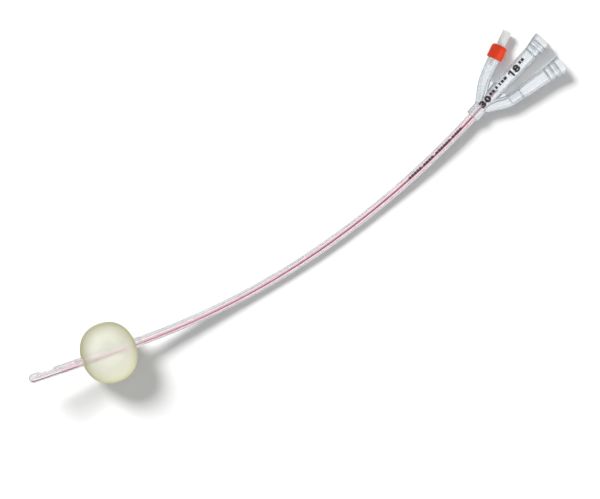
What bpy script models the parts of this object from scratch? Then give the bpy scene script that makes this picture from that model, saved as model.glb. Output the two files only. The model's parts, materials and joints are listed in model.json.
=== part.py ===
"""A three-way Foley catheter, 18 Ch with a 30 ml balloon, lying on a flat surface.

X runs along the drainage funnel towards its mouth, Z is up and the surface is z = 0.
The soft shaft leaves the hub towards -X in slow bends, and the filled balloon lifts its tip.
"""

import math

import bpy
from mathutils import Vector

MM = 0.001

# Fits
BOND_GAP = 0.1 * MM  # between pieces that are cemented or pressed together
SLIDE_GAP = 0.2 * MM  # round the valve's moving pieces
SEAT_GAP = 0.3 * MM  # between faces that rest on each other
OVERSHOOT = 1.0 * MM  # how far a cutter runs on past the face that it opens

# Shaft: an extruded tube with three lumens and a coloured stripe
SHAFT_RADIUS = 3.0 * MM
SHAFT_FREE_LENGTH = 342.5 * MM
SHAFT_WALL = 0.6 * MM
SEPTUM = 0.55 * MM
SHAFT_SIDES = 24
STATION_PITCH = 9.0 * MM
STRIPE_WIDTH = 0.6 * MM
STRIPE_DEPTH = 0.3 * MM
STRIPE_CLEARANCE = 0.05 * MM
STRIPE_DOME_ANGLE = math.radians(45)  # how far the stripe runs up the round nose
DOME_STEPS = 5
TWIST_AT_HUB = math.radians(3)
TWIST_AT_TIP = math.radians(44)
IRRIGATION_LUMEN = (1.25 * MM, 0.75 * MM)  # half width and half height
IRRIGATION_OFFSET = -0.55 * MM
IRRIGATION_LUMEN_HEIGHT = SHAFT_RADIUS - STRIPE_DEPTH - SHAFT_WALL - IRRIGATION_LUMEN[1]
IRRIGATION_LUMEN_SIDES = 10
DRAINAGE_FILLET = 0.3 * MM
INFLATION_LUMEN_RADIUS = 0.4 * MM
INFLATION_LUMEN_PLACE = (1.72 * MM, 0.85 * MM)
INFLATION_LUMEN_SIDES = 6
LUMEN_RUN_ON = 2.0 * MM  # how far a lumen runs on past its side hole

# How the shaft lies: its slow bends, each as a length and the angle that it turns through
BENDS = (
    (122 * MM, math.radians(11.8)),
    (133 * MM, math.radians(15.1)),
    (90 * MM, math.radians(2.6)),
)
DROP_LENGTH = 95 * MM  # from the hub down to the surface
LIFT_LENGTH = 140 * MM  # from the surface up to the balloon's middle

# Eyes, measured back from the end of the nose
NOSE_WALL = 1.2 * MM
EYE_RISE = 0.35 * MM  # an eye's scoop is centred this far outside the wall
SIDE_EYE = (12.0 * MM, math.radians(-46), math.radians(7))  # place, angle round the shaft, tilt
SIDE_EYE_SIZE = (6.3 * MM, 4.5 * MM, 2.1 * MM)  # half length, half width and depth of the scoop
UNDER_EYE = (26.0 * MM, math.radians(-136), 0.0)
UNDER_EYE_SIZE = (5.0 * MM, 1.6 * MM, 2.0 * MM)
IRRIGATION_EYE = (25.0 * MM, math.radians(130), 0.0)
IRRIGATION_EYE_SIZE = (2.2 * MM, 0.9 * MM, 1.4 * MM)
INFLATION_HOLE_RADIUS = 0.35 * MM
IRRIGATION_HOLE_RADIUS = 0.6 * MM
HOLE_SIDES = 8
EYE_STEPS = 12
EYE_SIDES = 16

# Balloon
BALLOON_FROM_NOSE = 55.3 * MM
BALLOON_HALF_LENGTH = 18.1 * MM
BALLOON_RADIUS = 19.9 * MM
BALLOON_WALL = 0.3 * MM
BALLOON_SQUARENESS = 2.25
BALLOON_COLLAR = 5.0 * MM
BALLOON_FLAT = 0.6 * MM  # how far its weight flattens it on the surface
BALLOON_SIDES = 32
BALLOON_STEPS = 16

# Hub
HUB_START = -1.0 * MM
SLEEVE_RADIUS = 4.8 * MM
SLEEVE_LENGTH = 7.5 * MM
SLEEVE_TAPER = 2.4 * MM  # from the sleeve down to the tube
SOCKET_DEPTH = 23.5 * MM
TUBE_RADIUS = 4.4 * MM
TUBE_END_RADIUS = 4.85 * MM
TUBE_BORE = 3.15 * MM
TUBE_END_BORE = 3.55 * MM
SOCKET_LIP = 0.5 * MM  # the step that the shaft's end stops against
THROAT_LENGTH = 4.8 * MM  # the bore widens over this length behind the shaft's end
HUB_SIDES = 36
ARM_SIDES = 24
ARM_PITCH = 5.0 * MM

# The mouth that both big funnels share
RIM_X = 67.5 * MM
RIM_RADIUS = 6.4 * MM
RIM_BORE = 5.3 * MM
MOUTH_LENGTH = 13.0 * MM
GRIP_COUNT = 3
GRIP_PITCH = 4.0 * MM
GRIP_STEP = 0.3 * MM
EDGE = 0.25 * MM

# Inflation arm, on the +Y side
INFLATION_ARM_START = 5.9 * MM
INFLATION_ARM_ANGLE = math.radians(34)
INFLATION_ARM_RUN = 13.0 * MM
INFLATION_ARM_BEND = 40.0 * MM
INFLATION_PORT_ANGLE = math.radians(17)
INFLATION_ARM_END_RUN = 9.5 * MM
INFLATION_ARM_RADII = (3.3 * MM, 4.1 * MM)
INFLATION_BORES = (1.1 * MM, 2.6 * MM)

# Irrigation arm, on the -Y side
IRRIGATION_ARM_START = 5.5 * MM
IRRIGATION_ARM_ANGLE = math.radians(-33)
IRRIGATION_ARM_RUN = 17.5 * MM
IRRIGATION_ARM_BEND = 12.0 * MM
IRRIGATION_PORT_ANGLE = math.radians(-12.6)
IRRIGATION_ARM_END_RUN = 8.0 * MM
IRRIGATION_ARM_RADII = (3.4 * MM, 4.3 * MM)
IRRIGATION_BORES = (1.7 * MM, 2.2 * MM)

# Webs between the arms and the tube
WEB_THICKNESS = 2.0 * MM
WEB_END_X = 26.8 * MM
WEB_HOLLOW = 2.4 * MM
WEB_STEPS = 6

# Irrigation funnel
SPIGOT_LENGTH = 8.6 * MM
SPIGOT_RADIUS = 3.0 * MM
SPIGOT_BORE = 2.2 * MM
FUNNEL_LENGTH = 33.0 * MM
FUNNEL_RADIUS = 4.5 * MM
FUNNEL_END_RADIUS = 5.05 * MM
FUNNEL_BORE = 3.2 * MM
FUNNEL_THROAT_LENGTH = 4.5 * MM
FUNNEL_SIDES = 32

# Inflation valve, along its own axis from the collar's lower face
COLLAR_LENGTH = 9.5 * MM
COLLAR_RADIUS = 5.35 * MM
COLLAR_LIP = 1.1 * MM
COLLAR_CHAMFER = 1.5 * MM
COLLAR_SIDES = 32
ARM_IN_COLLAR = 7.0 * MM
STEM_LENGTH = 4.6 * MM
STEM_RADIUS = 1.9 * MM
STEM_BORE = 1.0 * MM
BARREL_RADIUS = 2.95 * MM
FLANGE_THICKNESS = 0.8 * MM
STUB_END = 19.9 * MM
STUB_RADIUS = 2.85 * MM
CHAMBER_START = 0.4 * MM
CHAMBER_END = 8.0 * MM
CHAMBER_RADIUS = 2.1 * MM
SEAT_THICKNESS = 0.8 * MM
SEAT_BORE = 1.2 * MM
LUER_RADII = (1.97 * MM, 2.2 * MM)
VALVE_SIDES = 24

# Valve plunger, its seal and its spring
PLUNGER_HEAD = 0.8 * MM
PLUNGER_STEM_RADIUS = 0.75 * MM
PLUNGER_STEM_LENGTH = 4.2 * MM
SEAL_THICKNESS = 0.8 * MM
SPRING_TURNS = 5
SPRING_WIRE = 0.18 * MM
SPRING_STEPS = 10
SPRING_SIDES = 5

AXIS_HEIGHT = RIM_RADIUS
POLE = 1e-9


def clear_scene():
    for old in list(bpy.data.objects):
        bpy.data.objects.remove(old)


def material(name, colour, roughness, transmission=0.0, ior=1.5):
    made = bpy.data.materials.new(name)
    made.use_nodes = True
    made.diffuse_color = colour
    shader = made.node_tree.nodes["Principled BSDF"]
    shader.inputs["Base Color"].default_value = colour
    shader.inputs["Roughness"].default_value = roughness
    shader.inputs["Transmission Weight"].default_value = transmission
    shader.inputs["IOR"].default_value = ior
    return made


def empty(name, parent=None, location=(0, 0, 0), turn=0.0):
    made = bpy.data.objects.new(name, None)
    made.empty_display_size = 5 * MM
    made.location = location
    made.rotation_euler = (0, 0, turn)
    made.parent = parent
    bpy.context.scene.collection.objects.link(made)
    return made


def solid(name, points, faces, finish, parent, smooth=True):
    """A mesh object with its faces pointing out."""
    mesh = bpy.data.meshes.new(name)
    mesh.from_pydata([tuple(point) for point in points], [], faces)
    mesh.materials.append(finish)
    if volume(mesh) < 0:
        mesh.flip_normals()
    if smooth:
        mesh.shade_smooth()
        mesh.set_sharp_from_angle(angle=math.radians(35))
    made = bpy.data.objects.new(name, mesh)
    made.parent = parent
    bpy.context.scene.collection.objects.link(made)
    return made


def volume(mesh):
    mesh.calc_loop_triangles()
    corners = [vertex.co for vertex in mesh.vertices]
    total = 0.0
    for triangle in mesh.loop_triangles:
        first, second, third = (corners[index] for index in triangle.vertices)
        total += first.dot(second.cross(third))
    return total


def skin(rings, closed_loop=False):
    """Points and faces over a row of rings. A ring of one point is a pole, and open ends get flat caps."""
    points = [point for ring in rings for point in ring]
    starts = [sum(len(ring) for ring in rings[:index]) for index in range(len(rings))]
    faces = []
    pairs = list(zip(range(len(rings) - 1), range(1, len(rings))))
    if closed_loop:
        pairs.append((len(rings) - 1, 0))
    for first, second in pairs:
        count = max(len(rings[first]), len(rings[second]))
        for side in range(count):
            following = (side + 1) % count
            corners = []
            for ring, index in ((first, side), (first, following), (second, following), (second, side)):
                corner = starts[ring] + index % len(rings[ring])
                if corner not in corners:
                    corners.append(corner)
            faces.append(corners)
    if not closed_loop and len(rings[0]) > 1:
        faces.append([starts[0] + index for index in reversed(range(len(rings[0])))])
    if not closed_loop and len(rings[-1]) > 1:
        faces.append([starts[-1] + index for index in range(len(rings[-1]))])
    return points, faces


def straight(along):
    """The frame of an axis along X: a point on it and the two directions across it."""
    return Vector((along, 0, 0)), Vector((0, 1, 0)), Vector((0, 0, 1))


def round_ring(frame, radius, sides):
    centre, across, up = frame
    if radius < POLE:
        return [centre]
    angles = [2 * math.pi * index / sides for index in range(sides)]
    return [centre + across * radius * math.cos(angle) + up * radius * math.sin(angle) for angle in angles]


def turned(name, profile, sides, finish, parent, axis=straight, closed_loop=False):
    """A piece turned about an axis, from (distance along, radius) pairs."""
    rings = [round_ring(axis(along), radius, sides) for along, radius in profile]
    return solid(name, *skin(rings, closed_loop), finish, parent)


def combine(target, operation, tools):
    """Joins tools to target, or cuts target with them. The tools don't show."""
    for tool in tools:
        step = target.modifiers.new(tool.name, "BOOLEAN")
        step.operation = operation
        step.solver = "EXACT"
        step.object = tool
        tool.hide_render = True
        tool.display_type = "WIRE"


class ArmAxis:
    """An axis in the hub's plane that leaves the tube at an angle, bends once and runs on straight."""

    def __init__(self, start, angle, run, bend_radius, port_angle, end_run):
        self.angle = angle
        self.run = run
        self.turn = port_angle - angle
        self.bend_radius = bend_radius
        self.arc = abs(self.turn) * bend_radius
        self.start = Vector((start, 0, 0))
        self.port = run + self.arc + end_run
        self.port_angle = port_angle

    def heading(self, along):
        share = min(max((along - self.run) / self.arc, 0), 1)
        return self.angle + self.turn * share

    def point(self, along):
        before = min(along, self.run)
        place = self.start + Vector((math.cos(self.angle), math.sin(self.angle), 0)) * before
        bent = min(max(along - self.run, 0), self.arc)
        if bent > 0:
            middle = self.angle + self.turn * bent / self.arc / 2
            chord = 2 * self.bend_radius * math.sin(bent / self.bend_radius / 2)
            place += Vector((math.cos(middle), math.sin(middle), 0)) * chord
        after = max(along - self.run - self.arc, 0)
        place += Vector((math.cos(self.port_angle), math.sin(self.port_angle), 0)) * after
        return place

    def __call__(self, along):
        heading = self.heading(along)
        return self.point(along), Vector((-math.sin(heading), math.cos(heading), 0)), Vector((0, 0, 1))

    def places(self, first, last, pitch):
        """Distances along the axis that catch both ends of its bend."""
        marks = [first, self.run, self.run + self.arc, last]
        marks = sorted({min(max(mark, first), last) for mark in marks})
        found = [marks[0]]
        for low, high in zip(marks, marks[1:]):
            count = max(1, math.ceil((high - low) / pitch))
            found += [low + (high - low) * (index + 1) / count for index in range(count)]
        return found


INFLATION_AXIS = ArmAxis(
    INFLATION_ARM_START,
    INFLATION_ARM_ANGLE,
    INFLATION_ARM_RUN,
    INFLATION_ARM_BEND,
    INFLATION_PORT_ANGLE,
    INFLATION_ARM_END_RUN,
)
IRRIGATION_AXIS = ArmAxis(
    IRRIGATION_ARM_START,
    IRRIGATION_ARM_ANGLE,
    IRRIGATION_ARM_RUN,
    IRRIGATION_ARM_BEND,
    IRRIGATION_PORT_ANGLE,
    IRRIGATION_ARM_END_RUN,
)


class ShaftAxis:
    """The shaft's centreline from its end in the hub, with the section's slow twist."""

    STEP = 1 * MM

    def __init__(self):
        self.length = SOCKET_DEPTH + SHAFT_FREE_LENGTH
        self.lift_height = BALLOON_RADIUS - BALLOON_FLAT - SHAFT_RADIUS
        self.drop_height = AXIS_HEIGHT - SHAFT_RADIUS
        self.lift_start = SHAFT_FREE_LENGTH - BALLOON_FROM_NOSE - LIFT_LENGTH
        place = Vector((SOCKET_DEPTH + HUB_START, 0, 0))
        flat = -SOCKET_DEPTH
        self.places = []
        self.directions = []
        for _ in range(math.ceil(self.length / self.STEP) + 2):
            heading = math.pi - self.turned_by(flat)
            slope = math.atan(self.steepness(flat))
            direction = Vector((math.cos(heading), math.sin(heading), 0)) * math.cos(slope)
            direction.z = math.sin(slope)
            self.places.append(Vector((place.x, place.y, self.height(flat))))
            self.directions.append(direction)
            place = place + direction * self.STEP
            flat += math.cos(slope) * self.STEP

    @staticmethod
    def turned_by(flat):
        """How far the shaft has turned at a distance from the hub along the surface."""
        total = 0.0
        for length, angle in BENDS:
            share = min(max(flat / length, 0), 1)
            total += angle * share
            flat -= length
        return total

    def height(self, flat):
        """Height over the hub's axis."""
        share = min(max(flat / DROP_LENGTH, 0), 1)
        level = -self.drop_height * share * share * (3 - 2 * share)
        rise = max((flat - self.lift_start) / LIFT_LENGTH, 0)
        if rise <= 1:
            return level + self.lift_height * (2 * rise**3 - rise**4)
        return level + self.lift_height * (1 + 2 * (rise - 1))

    def steepness(self, flat):
        share = min(max(flat / DROP_LENGTH, 0), 1)
        fall = -self.drop_height * 6 * share * (1 - share) / DROP_LENGTH
        rise = min(max((flat - self.lift_start) / LIFT_LENGTH, 0), 1)
        return fall + self.lift_height * (6 * rise**2 - 4 * rise**3) / LIFT_LENGTH

    def __call__(self, along):
        index = min(max(int(along / self.STEP), 0), len(self.places) - 2)
        share = along / self.STEP - index
        place = self.places[index].lerp(self.places[index + 1], share)
        direction = self.directions[index].lerp(self.directions[index + 1], share).normalized()
        across = direction.cross(Vector((0, 0, 1))).normalized()
        up = across.cross(direction)
        free = min(max((along - SOCKET_DEPTH) / SHAFT_FREE_LENGTH, 0), 1)
        twist = TWIST_AT_HUB + (TWIST_AT_TIP - TWIST_AT_HUB) * free**2
        turned_up = up * math.cos(twist) - across * math.sin(twist)
        turned_across = across * math.cos(twist) + up * math.sin(twist)
        return place, turned_across, turned_up

    def from_nose(self, distance):
        return self.length - distance

    def stations(self, first, last):
        """Distances between two places, on one grid that every piece of the shaft shares."""
        inner = range(math.ceil(first / STATION_PITCH), math.floor(last / STATION_PITCH) + 1)
        grid = [index * STATION_PITCH for index in inner]
        near = STATION_PITCH / 20
        return [first] + [mark for mark in grid if first + near < mark < last - near] + [last]


SHAFT_AXIS = ShaftAxis()
DOME_START = SHAFT_AXIS.length - SHAFT_RADIUS


def section_ring(along, outline):
    place, across, up = SHAFT_AXIS(along)
    return [place + across * side + up * height for side, height in outline]


def extruded(name, outline, first, last, finish, parent):
    """A section drawn along the shaft between two places."""
    rings = [section_ring(along, outline) for along in SHAFT_AXIS.stations(first, last)]
    return solid(name, *skin(rings), finish, parent)


def arc(centre, radius, first, last, count):
    """Points on an arc, its angles clockwise from straight up."""
    angles = [first + (last - first) * index / (count - 1) for index in range(count)]
    return [(centre[0] + radius * math.sin(a), centre[1] + radius * math.cos(a)) for a in angles]


def shaft_outline(radius, grooved):
    half = STRIPE_WIDTH / 2 + STRIPE_CLEARANCE
    depth = STRIPE_DEPTH + STRIPE_CLEARANCE
    corner = math.asin(half / radius)
    around = arc((0, 0), radius, corner, 2 * math.pi - corner, SHAFT_SIDES + 1)
    if grooved:
        return around + [(-half, radius - depth), (half, radius - depth)]
    return around + arc((0, 0), radius, -corner / 3, corner / 3, 2)


def stripe_outline(radius):
    half = STRIPE_WIDTH / 2
    corner = math.asin(half / radius)
    low = radius - STRIPE_DEPTH
    return arc((0, 0), radius, -corner, corner, 3) + [(half, low), (-half, low)]


def drainage_outline():
    """The large D-shaped lumen under the septum, with rounded corners."""
    radius = SHAFT_RADIUS - SHAFT_WALL
    chord = IRRIGATION_LUMEN_HEIGHT - IRRIGATION_LUMEN[1] - SEPTUM
    middle = chord - DRAINAGE_FILLET
    side = math.sqrt((radius - DRAINAGE_FILLET) ** 2 - middle**2)
    touch = math.atan2(side, middle)
    bottom = arc((0, 0), radius, touch, 2 * math.pi - touch, 9)
    right = arc((side, middle), DRAINAGE_FILLET, 0, touch, 3)[:-1]
    left = arc((-side, middle), DRAINAGE_FILLET, -touch, 0, 3)[1:]
    return right + bottom + left


def full_circle(centre, radius, sides):
    return arc(centre, radius, 0, 2 * math.pi, sides + 1)[:-1]


def irrigation_outline():
    half_width, half_height = IRRIGATION_LUMEN
    return [
        (IRRIGATION_OFFSET + half_width * side, IRRIGATION_LUMEN_HEIGHT + half_height * height)
        for side, height in full_circle((0, 0), 1, IRRIGATION_LUMEN_SIDES)
    ]


def dome_marks(last_angle, count):
    """Places and radii along the round nose, from where it starts."""
    angles = [last_angle * (index + 1) / count for index in range(count)]
    return [(DOME_START + SHAFT_RADIUS * math.sin(a), SHAFT_RADIUS * math.cos(a)) for a in angles]


def make_shaft(finish, parent):
    grooved = shaft_outline(SHAFT_RADIUS, True)
    rings = [section_ring(along, grooved) for along in SHAFT_AXIS.stations(0, DOME_START)]
    stripe_end = DOME_START + SHAFT_RADIUS * math.sin(STRIPE_DOME_ANGLE)
    for along, radius in dome_marks(math.pi / 2, 2 * DOME_STEPS)[:-1]:
        rings.append(section_ring(along, shaft_outline(radius, along < stripe_end + STRIPE_DEPTH)))
    rings.append([SHAFT_AXIS(SHAFT_AXIS.length)[0]])
    shaft = solid("shaft", *skin(rings), finish, parent)
    cutters = drainage_cutters(finish, parent) + irrigation_cutters(finish, parent)
    cutters += inflation_cutters(finish, parent) + eye_cutters(finish, parent)
    combine(shaft, "DIFFERENCE", cutters)
    return shaft


def side_port(axis):
    """Where along the shaft an arm's axis reaches its side."""
    port = axis.start.x + SHAFT_RADIUS / abs(math.tan(axis.angle))
    return HUB_START + SOCKET_DEPTH - port


def drainage_cutters(finish, parent):
    """The large lumen, from the shaft's open end to the nose."""
    last = SHAFT_AXIS.from_nose(SHAFT_RADIUS + NOSE_WALL)
    return [extruded("drainage_lumen", drainage_outline(), -OVERSHOOT, last, finish, parent)]


def irrigation_cutters(finish, parent):
    """The flat lumen on top, and the hole into it from the irrigation arm."""
    port = side_port(IRRIGATION_AXIS)
    last = SHAFT_AXIS.from_nose(IRRIGATION_EYE[0] - IRRIGATION_EYE_SIZE[0] - NOSE_WALL)
    outer = (-2 * SHAFT_RADIUS, IRRIGATION_LUMEN_HEIGHT)
    inner = (IRRIGATION_OFFSET, IRRIGATION_LUMEN_HEIGHT)
    return [
        extruded("irrigation_lumen", irrigation_outline(), port - LUMEN_RUN_ON, last, finish, parent),
        drill("irrigation_hole", port, outer, inner, IRRIGATION_HOLE_RADIUS, finish, parent),
    ]


def inflation_cutters(finish, parent):
    """The small lumen, the hole into it from the inflation arm and the one into the balloon."""
    port = side_port(INFLATION_AXIS)
    balloon = SHAFT_AXIS.from_nose(BALLOON_FROM_NOSE)
    outline = full_circle(INFLATION_LUMEN_PLACE, INFLATION_LUMEN_RADIUS, INFLATION_LUMEN_SIDES)
    side, height = INFLATION_LUMEN_PLACE
    beside = (2 * SHAFT_RADIUS, height)
    above = (2 * side, 2 * height)
    first = port - LUMEN_RUN_ON
    last = balloon + LUMEN_RUN_ON
    return [
        extruded("inflation_lumen", outline, first, last, finish, parent),
        drill("inflation_hole", port, beside, (side, height), INFLATION_HOLE_RADIUS, finish, parent),
        drill("filling_hole", balloon, above, (side, height), INFLATION_HOLE_RADIUS, finish, parent),
    ]


def drill(name, along, outer, inner, radius, finish, parent):
    """A round hole through the shaft's wall, from a point outside it to one in a lumen."""
    place, across, up = SHAFT_AXIS(along)
    first = place + across * outer[0] + up * outer[1]
    last = place + across * inner[0] + up * inner[1]
    way = (last - first).normalized()
    beside = way.cross(up.cross(across)).normalized()
    over = beside.cross(way)
    rings = [round_ring((end, beside, over), radius, HOLE_SIDES) for end in (first, last)]
    return solid(name, *skin(rings), finish, parent)


def eye_cutters(finish, parent):
    """Long round-ended scoops through the wall, each at its angle round the shaft."""
    eyes = (
        ("side_eye", SIDE_EYE, SIDE_EYE_SIZE),
        ("under_eye", UNDER_EYE, UNDER_EYE_SIZE),
        ("irrigation_eye", IRRIGATION_EYE, IRRIGATION_EYE_SIZE),
    )
    cutters = []
    for name, (from_nose, angle, tilt), size in eyes:
        half_length, half_width, half_depth = size
        place, across, up = SHAFT_AXIS(SHAFT_AXIS.from_nose(from_nose))
        out = across * math.cos(angle) + up * math.sin(angle)
        middle = place + out * (SHAFT_RADIUS + EYE_RISE)
        along = up.cross(across).normalized()
        beside = along.cross(out)
        way = along * math.cos(tilt) + out * math.sin(tilt)
        out = beside.cross(way)
        rings = [[middle - way * half_length]]
        for index in range(1, EYE_STEPS):
            turn = math.pi * index / EYE_STEPS
            centre = middle - way * half_length * math.cos(turn)
            wide = beside * half_width * math.sin(turn)
            deep = out * half_depth * math.sin(turn)
            circle = full_circle((0, 0), 1, EYE_SIDES)
            rings.append([centre + wide * side + deep * height for side, height in circle])
        rings.append([middle + way * half_length])
        cutters.append(solid(name, *skin(rings), finish, parent))
    return cutters


def make_stripe(finish, parent):
    places = SHAFT_AXIS.stations(0, DOME_START)
    rings = [section_ring(along, stripe_outline(SHAFT_RADIUS)) for along in places]
    for along, radius in dome_marks(STRIPE_DOME_ANGLE, DOME_STEPS):
        rings.append(section_ring(along, stripe_outline(radius)))
    return solid("xray_stripe", *skin(rings), finish, parent)


def make_balloon(finish, parent):
    """A latex sleeve bonded to the shaft at both ends and blown up between them."""
    middle = SHAFT_AXIS.from_nose(BALLOON_FROM_NOSE)
    bore = SHAFT_RADIUS + BOND_GAP
    outside = balloon_curve(BALLOON_HALF_LENGTH, BALLOON_RADIUS, bore + BALLOON_WALL)
    inside = balloon_curve(BALLOON_HALF_LENGTH - BALLOON_WALL, BALLOON_RADIUS - BALLOON_WALL, bore)
    end = BALLOON_HALF_LENGTH + BALLOON_COLLAR
    profile = [(-end, bore + BALLOON_WALL, 0)]
    profile += [(along, radius, 0) for along, radius in outside]
    profile += [(end, bore + BALLOON_WALL, 0), (end, bore, BALLOON_WALL)]
    profile += [(along, radius, BALLOON_WALL) for along, radius in reversed(inside)]
    profile.append((-end, bore, BALLOON_WALL))
    rings = []
    for along, radius, depth in profile:
        ring = round_ring(SHAFT_AXIS(middle + along), radius, BALLOON_SIDES)
        floor = depth - AXIS_HEIGHT
        rings.append([Vector((point.x, point.y, max(point.z, floor))) for point in ring])
    return solid("balloon", *skin(rings, closed_loop=True), finish, parent)


def balloon_curve(half_length, radius, end_radius):
    """(along, radius) over the blown part, from collar to collar."""
    power = 2 / BALLOON_SQUARENESS
    first = math.asin((end_radius / radius) ** (1 / power))
    angles = [first + (math.pi - 2 * first) * index / BALLOON_STEPS for index in range(BALLOON_STEPS + 1)]
    curve = []
    for angle in angles:
        swing = -math.cos(angle)
        along = math.copysign(half_length * abs(swing) ** power, swing)
        curve.append((along, radius * math.sin(angle) ** power))
    return curve


def mouth_outside(rim, start_radius):
    """The flare of a funnel's mouth and its softened rim."""
    start = rim - MOUTH_LENGTH
    middle = (start + rim) / 2
    belly = (start_radius + RIM_RADIUS) / 2 + EDGE / 2
    return [(start, start_radius), (middle, belly), (rim - EDGE, RIM_RADIUS), (rim, RIM_RADIUS - EDGE)]


def mouth_bore(rim, neck_radius):
    """The bore from the rim inwards: widening steps that grip a connector, then the neck."""
    profile = [(rim, RIM_BORE)]
    radius = RIM_BORE
    for step in range(GRIP_COUNT):
        inner = rim - GRIP_PITCH * (step + 1)
        radius -= GRIP_STEP / 2
        profile.append((inner, radius))
        radius = radius - GRIP_STEP if step < GRIP_COUNT - 1 else neck_radius
        profile.append((inner - EDGE, radius))
    return profile


def make_hub(finish, parent):
    socket_end = HUB_START + SOCKET_DEPTH + SEAT_GAP
    outside = [
        (HUB_START, 0),
        (HUB_START, SLEEVE_RADIUS - 2 * EDGE),
        (HUB_START + 2 * EDGE, SLEEVE_RADIUS),
        (HUB_START + SLEEVE_LENGTH, SLEEVE_RADIUS),
        (HUB_START + SLEEVE_LENGTH + SLEEVE_TAPER, TUBE_RADIUS),
        (socket_end, TUBE_RADIUS),
    ]
    outside += mouth_outside(RIM_X, TUBE_END_RADIUS) + [(RIM_X, 0)]
    hub = turned("hub", outside, HUB_SIDES, finish, parent)
    bore = [(RIM_X + OVERSHOOT, 0), (RIM_X + OVERSHOOT, RIM_BORE)]
    bore += mouth_bore(RIM_X, TUBE_END_BORE)
    stop = SHAFT_RADIUS - SOCKET_LIP
    socket = SHAFT_RADIUS + BOND_GAP
    bore += [
        (socket_end + THROAT_LENGTH, TUBE_BORE),
        (socket_end, stop),
        (socket_end, socket),
        (HUB_START - OVERSHOOT, socket),
        (HUB_START - OVERSHOOT, 0),
    ]
    tools = [
        arm_outside("inflation_arm", INFLATION_AXIS, INFLATION_ARM_RADII, ARM_IN_COLLAR, finish, parent),
        arm_outside("irrigation_arm", IRRIGATION_AXIS, IRRIGATION_ARM_RADII, 0, finish, parent),
        web("inflation_web", INFLATION_AXIS, INFLATION_ARM_RADII, finish, parent),
        web("irrigation_web", IRRIGATION_AXIS, IRRIGATION_ARM_RADII, finish, parent),
    ]
    combine(hub, "UNION", tools)
    cutters = [
        turned("tube_bore", bore, HUB_SIDES, finish, parent),
        arm_bore("inflation_bore", INFLATION_AXIS, INFLATION_BORES, finish, parent),
        arm_bore("irrigation_bore", IRRIGATION_AXIS, IRRIGATION_BORES, finish, parent),
        port_socket("valve_socket", INFLATION_AXIS, 0, ARM_IN_COLLAR, BARREL_RADIUS, finish, parent),
        port_socket("spigot_socket", IRRIGATION_AXIS, -SPIGOT_LENGTH, 0, SPIGOT_RADIUS, finish, parent),
    ]
    combine(hub, "DIFFERENCE", cutters)
    return hub


def arm_outside(name, axis, radii, past_port, finish, parent):
    last = axis.port + past_port
    profile = []
    for along in axis.places(0, last, ARM_PITCH):
        share = min(along / axis.port, 1)
        profile.append((along, radii[0] + (radii[1] - radii[0]) * share))
    return turned(name, profile, ARM_SIDES, finish, parent, axis)


def arm_bore(name, axis, radii, finish, parent):
    """The passage from the shaft's side to the port, tapering as its core pin does."""
    last = axis.port + OVERSHOOT
    first = (SHAFT_RADIUS - SOCKET_LIP) / abs(math.sin(axis.angle))
    profile = []
    for along in axis.places(first, last, ARM_PITCH):
        share = (along - first) / (last - first)
        profile.append((along, radii[0] + (radii[1] - radii[0]) * share))
    return turned(name, profile, ARM_SIDES, finish, parent, axis)


def port_socket(name, axis, first, last, radius, finish, parent):
    """The socket at an arm's end that takes the next piece."""
    port = axis.port
    start = port + first - SEAT_GAP
    profile = [(start, radius + BOND_GAP), (port + last + OVERSHOOT, radius + BOND_GAP)]

    def port_line(along):
        centre, across, up = axis(port)
        way = across.cross(up)
        return centre + way * (along - port), across, up

    return turned(name, profile, ARM_SIDES, finish, parent, port_line)


def web(name, axis, radii, finish, parent):
    """The flat web that fills the fork between an arm and the tube, with a hollowed edge."""
    side = math.copysign(1, axis.angle)
    length = (WEB_END_X - axis.start.x) / math.cos(axis.angle)
    edge = [axis.point(length * (index + 1) / WEB_STEPS) for index in range(WEB_STEPS)]
    far = edge[-1]
    gap_middle = side * (TUBE_RADIUS + abs(far.y) - radii[1]) / 2
    hollow = []
    for index in range(WEB_STEPS + 1):
        turn = math.pi * (0.5 + index / WEB_STEPS)
        across = gap_middle + side * WEB_HOLLOW * math.sin(turn)
        hollow.append((WEB_END_X + WEB_HOLLOW * math.cos(turn), across))
    outline = [(axis.start.x, 0)] + [(point.x, point.y) for point in edge]
    outline += hollow + [(WEB_END_X, 0)]
    rings = []
    for height in (-WEB_THICKNESS / 2, WEB_THICKNESS / 2):
        rings.append([Vector((x, y, height)) for x, y in outline])
    return solid(name, *skin(rings), finish, parent, smooth=False)


def make_irrigation_funnel(finish, parent):
    shoulder = SEAT_GAP
    outside = [(-SPIGOT_LENGTH, SPIGOT_BORE), (-SPIGOT_LENGTH, SPIGOT_RADIUS), (shoulder, SPIGOT_RADIUS)]
    outside += [(shoulder, FUNNEL_RADIUS - EDGE), (shoulder + EDGE, FUNNEL_RADIUS)]
    outside += mouth_outside(FUNNEL_LENGTH, FUNNEL_END_RADIUS)
    bore = mouth_bore(FUNNEL_LENGTH, TUBE_END_BORE)
    bore += [(FUNNEL_THROAT_LENGTH, FUNNEL_BORE), (0, SPIGOT_BORE)]
    return turned("irrigation_funnel", outside + bore, FUNNEL_SIDES, finish, parent, closed_loop=True)


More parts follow.
